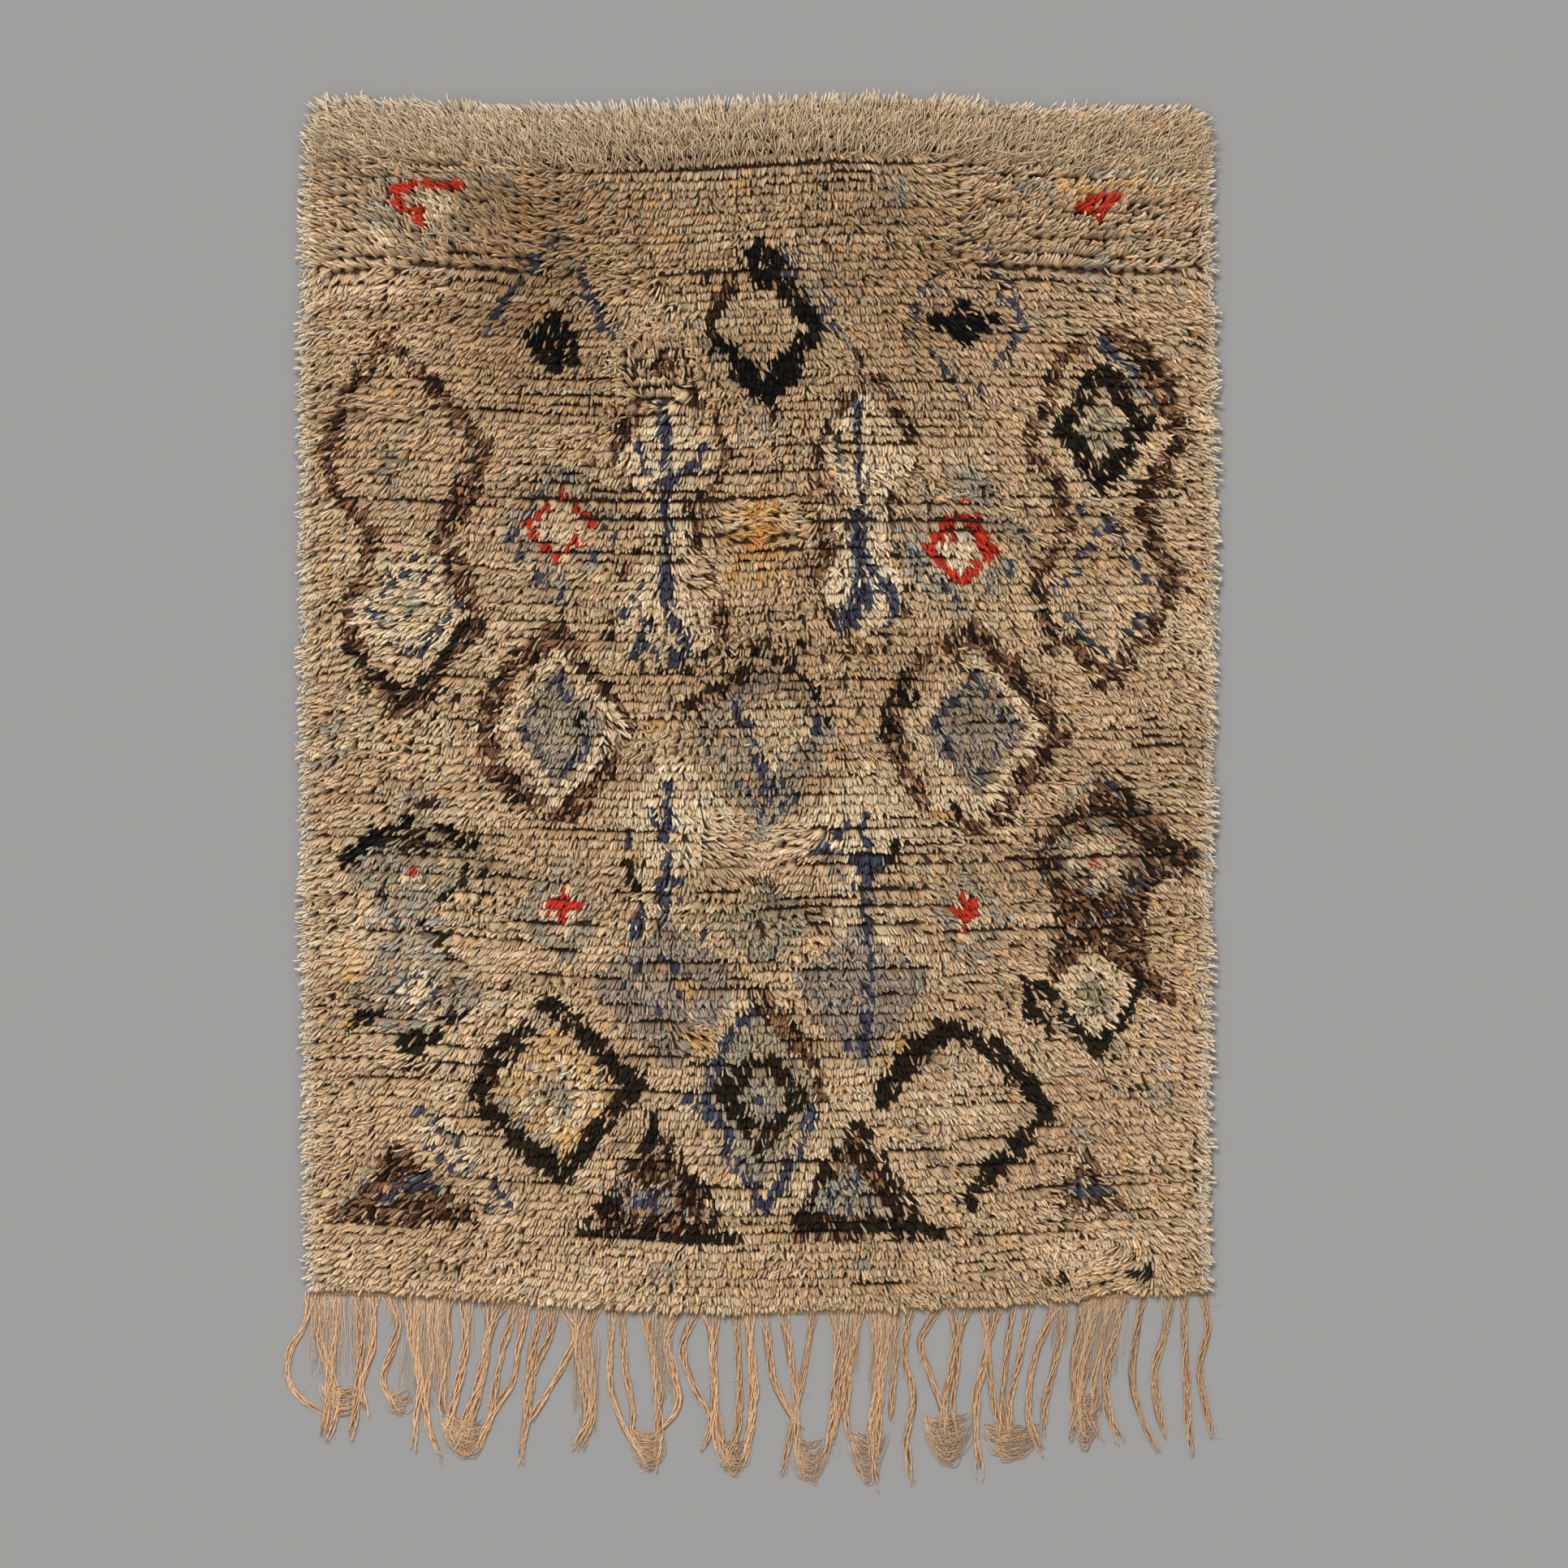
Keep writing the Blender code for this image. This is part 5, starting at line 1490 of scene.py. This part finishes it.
ply_turn = math.tau * depth / TWIST_LENGTH + first_turn[:, None]
ply_x = wandering(depth / hank_length, stops) + ROOT_SPACING * from_middle[:, None] * (1.0 - gathered)
ply_x = ply_x + HANK_SPREAD * gathered * np.cos(slow_turn) * np.sqrt(yarns_in[of_hank] / 3.0)[:, None]
ply_x = ply_x + 0.0032 * gathered * drift(depth, 5.0 * yarn_index[:, None], 0.050, 1.0, 72)
ply_x = ply_x + 0.0008 * gathered * drift(depth, 9.0 * np.arange(ply_count)[:, None], 0.010, 1.0, 74)
ply_x = ply_x + 0.8 * PLY_HALF * np.cos(ply_turn)
ply_x = np.clip(ply_x, *FRINGE_SPAN)
ply_y = hem_y(ply_x[:, :1]) - depth
ply_y = ply_y + 0.003 * gathered * drift(depth, 4.0 * yarn_index[:, None], 0.05, 1.0, 75)
ply_half = PLY_HALF * (1.0 + 0.12 * chance.normal(size=(ply_count, 1)))
ply_half = ply_half * (1.0 - 0.5 * ease((step - 0.88) / 0.12))
stacked = 0.0016 * (1.0 + np.sin(slow_turn)) * gathered + 0.8 * PLY_HALF * (1.0 + np.sin(ply_turn))
warp_middle = np.stack((ply_x, ply_y, ply_half + 0.0002 + stacked), axis=-1)
warp_rings = tube_rings(warp_middle, ply_half * np.ones_like(depth), 4)
warp_tint = linear(FRINGE_TONE) * np.clip(1.0 + 0.15 * chance.normal(size=(ply_count, 1)), 0.6, 1.4)
warp_tint = warp_tint * (1.0 - PALE_TO_THE_LEFT * ply_x[:, :1] / RUG_HALF_WIDTH)
warp_shade = np.tile(0.95 + 0.10 * step, (ply_count, 1))
fringe_material = yarn_material("warp_yarn", 0.25, 0.0005, 0.0004)
warp_yarns = add_strands(
    "warp_yarns", warp_rings[:, :-1], warp_middle[:, -1], warp_tint, warp_shade, fringe_material
)
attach(warp_yarns, "root")
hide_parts("fringe")

# Inside each hank lie the yarns that the outer ones hide: flat strands that close its chinks, tinted
# darker as painted shade of the hank's inside.
BODY_STRANDS = 3
BODY_RINGS = 20
BODY_HALF = 0.0025
BODY_FLATNESS = 0.4
BODY_END = 0.93
body_of = np.repeat(np.arange(len(HANKS)), BODY_STRANDS)
body_step = np.linspace(0.0, BODY_END, BODY_RINGS + 1)[None, :]
body_depth = body_step * np.array([hank.length for hank in HANKS])[body_of][:, None]
body_gathered = ease(body_depth / GATHER_DEPTH)
body_yarns = yarns_in[body_of][:, None]
body_reach = 0.4 * ROOT_SPACING * (body_yarns - 1.0) * (1.0 - body_gathered)
body_reach = body_reach + 0.8 * HANK_SPREAD * body_gathered * np.sqrt(body_yarns / 3.0)
body_side = np.tile(np.linspace(-1.0, 1.0, BODY_STRANDS), len(HANKS))[:, None]
body_x = wandering(body_step, np.array([hank[:5] for hank in HANKS])[body_of]) + body_side * body_reach
body_x = body_x + 0.002 * drift(body_depth, 3.0 * np.arange(len(body_of))[:, None], 0.035, 1.0, 79)
body_half = BODY_HALF * (0.25 + 0.75 * body_gathered) * (1.0 - 0.7 * ease((body_step - 0.80) / 0.13))
body_y = hem_y(body_x[:, :1]) - body_depth
body_middle = np.stack((np.clip(body_x, -0.770, 0.773), body_y, body_half + 0.0004), axis=-1)
body_rings = tube_rings(body_middle, body_half, 3) * (1.0, 1.0, BODY_FLATNESS)
body_tips = body_middle[:, -1] * (1.0, 1.0, BODY_FLATNESS)
body_shaded_tint = linear(BODY_SHADE_TONE) * np.clip(1.0 + 0.15 * chance.normal(size=(len(body_of), 1)), 0.6, 1.4)
body_shaded_tint = body_shaded_tint * (1.0 - PALE_TO_THE_LEFT * body_x[:, :1] / RUG_HALF_WIDTH)
body_shade = np.ones((len(body_of), BODY_RINGS + 1))
warp_bodies = add_strands(
    "warp_bodies", body_rings[:, :-1], body_tips, body_shaded_tint, body_shade, fringe_material
)
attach(warp_bodies, "root")
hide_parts("fringe")

# Loose fibres: fuzz along the yarns, veils of threads that never gathered, and webs of felted threads
# that hang in loops between the hanks' tips.
Veil = namedtuple("Veil", "x_from x_to depth_from depth_to threads")
VEILS = (
    Veil(-0.724, -0.644, 0.000, 0.153, 87),
    Veil(-0.644, -0.618, 0.000, 0.078, 20),
    Veil(-0.596, -0.578, 0.000, 0.060, 12),
    Veil(-0.578, -0.562, 0.084, 0.160, 14),
    Veil(-0.558, -0.500, 0.000, 0.193, 116),
    Veil(-0.473, -0.456, 0.000, 0.094, 14),
    Veil(-0.358, -0.327, 0.000, 0.065, 26),
    Veil(-0.162, -0.129, 0.000, 0.162, 52),
    Veil(-0.289, -0.253, 0.057, 0.191, 67),
    Veil(0.136, 0.178, 0.000, 0.124, 44),
    Veil(0.196, 0.240, 0.000, 0.142, 44),
    Veil(0.484, 0.520, 0.000, 0.085, 23),
    Veil(0.538, 0.618, 0.000, 0.140, 72),
)
Web = namedtuple("Web", "x_from x_to depth low threads")
WEBS = (
    Web(-0.707, -0.640, 0.152, 0.203, 64),
    Web(-0.602, -0.551, 0.158, 0.193, 29),
    Web(-0.506, -0.431, 0.195, 0.261, 110),
    Web(-0.198, -0.138, 0.197, 0.266, 96),
    Web(-0.056, 0.002, 0.207, 0.269, 70),
    Web(0.069, 0.125, 0.205, 0.283, 72),
    Web(0.160, 0.227, 0.190, 0.284, 72),
    Web(0.284, 0.369, 0.175, 0.261, 102),
    Web(0.380, 0.478, 0.199, 0.259, 87),
    Web(0.525, 0.576, 0.152, 0.249, 87),
)
FUZZ = 520
FIBRE_RINGS = 9
FIBRE_LOWEST_Y = -1.150
FIBRE_HIGHEST_Y = -0.822
FUZZ_HALF = 0.00030
VEIL_HALF = 0.00051
WEB_HALF = 0.00096
FUZZ_PALENESS = 1.0
VEIL_PALENESS = 0.6
WEB_PALENESS = 0.25
fibre_step = np.linspace(0.0, 1.0, FIBRE_RINGS + 1)[None, :]


def curls(x, y, long, bend):
    """Fibres that leave their starts in every direction and bend more the further they run."""
    count = len(x)
    turned = chance.uniform(0.0, math.tau, (count, 1))
    turned = turned + bend * chance.normal(size=(count, 1)) * fibre_step**1.2
    pace = chance.uniform(*long, (count, 1)) / FIBRE_RINGS
    run_x = np.cumsum(pace * np.cos(turned), axis=1)
    run_y = np.cumsum(pace * np.sin(turned), axis=1)
    return x[:, None] + run_x, y[:, None] + run_y


chosen = chance.integers(0, ply_count, FUZZ)
start_ring = (PLY_RINGS * (1.0 - 0.95 * chance.uniform(size=FUZZ) ** 1.5)).astype(int)
fuzz_x, fuzz_y = curls(ply_x[chosen, start_ring], ply_y[chosen, start_ring], (0.010, 0.028), 5.0)

veil = np.repeat(np.array(VEILS), [veil.threads for veil in VEILS], axis=0)
veil_from = veil[:, 2:3] * chance.uniform(0.4, 1.6, (len(veil), 1))
veil_long = (veil[:, 3:4] - veil[:, 2:3]) * chance.uniform(0.7, 1.0, (len(veil), 1))
veil_depth = veil_from + fibre_step * veil_long
veil_x = veil[:, :1] + chance.uniform(size=(len(veil), 1)) * (veil[:, 1:2] - veil[:, :1])
veil_x = veil_x + 0.008 * drift(veil_depth, 3.0 * np.arange(len(veil))[:, None], 0.040, 1.0, 76)
veil_y = hem_y(veil_x) - veil_depth

web = np.repeat(np.array(WEBS), [web.threads for web in WEBS], axis=0)
web_start = chance.uniform(0.0, 0.50, (len(web), 1))
web_share = web_start + fibre_step * (chance.uniform(0.40, 1.0, (len(web), 1)) - web_start)
web_sag = chance.uniform(0.10, 1.0, (len(web), 1)) * np.sin(math.pi * web_share) ** 0.6
web_x = web[:, :1] + web_share * (web[:, 1:2] - web[:, :1])
web_x = web_x + 0.010 * drift(web_share, 3.0 * np.arange(len(web))[:, None], 0.22, 1.0, 77)
web_y = hem_y(web_x) - web[:, 2:3] - web_sag * (web[:, 3:4] - web[:, 2:3])
web_y = web_y + 0.009 * drift(web_share, 3.0 * np.arange(len(web))[:, None], 0.15, 1.0, 78)

fibre_x = np.clip(np.concatenate((fuzz_x, veil_x, web_x)), *FRINGE_SPAN)
fibre_y = np.clip(np.concatenate((fuzz_y, veil_y, web_y)), FIBRE_LOWEST_Y, FIBRE_HIGHEST_Y)
fibre_count = len(fibre_x)
fibres_of_kind = (FUZZ, len(veil), len(web))
wide = np.repeat((FUZZ_HALF, VEIL_HALF, WEB_HALF), fibres_of_kind)
fibre_half = wide[:, None] * (1.0 - 0.5 * fibre_step)
fibre_z = 0.0006 + chance.uniform(0.0, 0.0050, (fibre_count, 1)) * np.sin(math.pi * fibre_step)
fibre_z = fibre_z + fibre_half
fibre_middle = np.stack((fibre_x, fibre_y, fibre_z), axis=-1)
fibre_rings = tube_rings(fibre_middle, fibre_half, 3)
# Painted highlight: the loose fibres are mixed towards a paler tone, most for the fuzz and least for the
# webs.
fibre_paleness = np.repeat((FUZZ_PALENESS, VEIL_PALENESS, WEB_PALENESS), fibres_of_kind)[:, None]
fibre_tint = linear(FRINGE_TONE) * (1.0 - fibre_paleness) + linear(FUZZ_HIGHLIGHT_TONE) * fibre_paleness
fibre_tint = fibre_tint * chance.uniform(0.70, 1.20, (fibre_count, 1))
fibre_tint = fibre_tint * (1.0 - PALE_TO_THE_LEFT * fibre_x[:, :1] / RUG_HALF_WIDTH)
fibre_shade = np.ones((fibre_count, FIBRE_RINGS + 1))
fringe_fluff = add_strands(
    "fringe_fluff", fibre_rings[:, :-1], fibre_middle[:, -1], fibre_tint, fibre_shade, fringe_material
)
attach(fringe_fluff, "root")
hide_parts("fringe")


# The studio: a plain pale floor, one broad soft light from beyond the plain end and even light all
# round. The camera looks straight down on the rug, as in the photograph.
FLOOR_TONE = 0.36
CAMERA_HEIGHT = 7.0
CAMERA_X = 0.0547
CAMERA_Y = 0.0207
FRAME_WIDTH = 2.576
SENSOR = 36.0
SUN_STRENGTH = 1.95
SUN_SOFTNESS = 24.0
SUN_HEIGHT = 52.0
SUN_FROM = 20.0
SKY_STRENGTH = 0.50
FLOOR_RADIUS = 14.0
FLOOR_POINTS = 96
floor_mesh = bpy.data.meshes.new("floor")
turn = np.linspace(0.0, math.tau, FLOOR_POINTS + 1)[:-1]
edge = np.stack((FLOOR_RADIUS * np.cos(turn), FLOOR_RADIUS * np.sin(turn), np.zeros_like(turn)), axis=1)
floor_mesh.from_pydata(edge.tolist(), [], [list(range(len(edge)))])
floor = bpy.data.objects.new("floor", floor_mesh)
bpy.context.scene.collection.objects.link(floor)
floor_material = bpy.data.materials.new("pale_floor")
floor_material.use_nodes = True
floor_shader = floor_material.node_tree.nodes["Principled BSDF"]
floor_shader.inputs["Base Color"].default_value = (FLOOR_TONE, 0.985 * FLOOR_TONE, 0.965 * FLOOR_TONE, 1.0)
floor_shader.inputs["Roughness"].default_value = 1.0
floor_shader.inputs["Specular IOR Level"].default_value = 0.0
floor_mesh.materials.append(floor_material)

sun_data = bpy.data.lights.new("soft_light", "SUN")
sun_data.energy = SUN_STRENGTH
sun_data.angle = math.radians(SUN_SOFTNESS)
sun = bpy.data.objects.new("soft_light", sun_data)
sun.rotation_euler = (math.radians(-(90.0 - SUN_HEIGHT)), 0.0, math.radians(SUN_FROM))
bpy.context.scene.collection.objects.link(sun)

world = bpy.data.worlds.new("even_light")
world.use_nodes = True
background = world.node_tree.nodes["Background"]
background.inputs["Color"].default_value = (1.0, 0.99, 0.975, 1.0)
background.inputs["Strength"].default_value = SKY_STRENGTH
bpy.context.scene.world = world
bpy.context.scene.view_settings.view_transform = "Standard"

camera_data = bpy.data.cameras.new("camera")
camera_data.sensor_width = SENSOR
camera_data.lens = SENSOR * CAMERA_HEIGHT / FRAME_WIDTH
camera_data.clip_end = 60.0
camera = bpy.data.objects.new("camera", camera_data)
camera.location = (CAMERA_X, CAMERA_Y, CAMERA_HEIGHT)
bpy.context.scene.collection.objects.link(camera)
bpy.context.scene.camera = camera
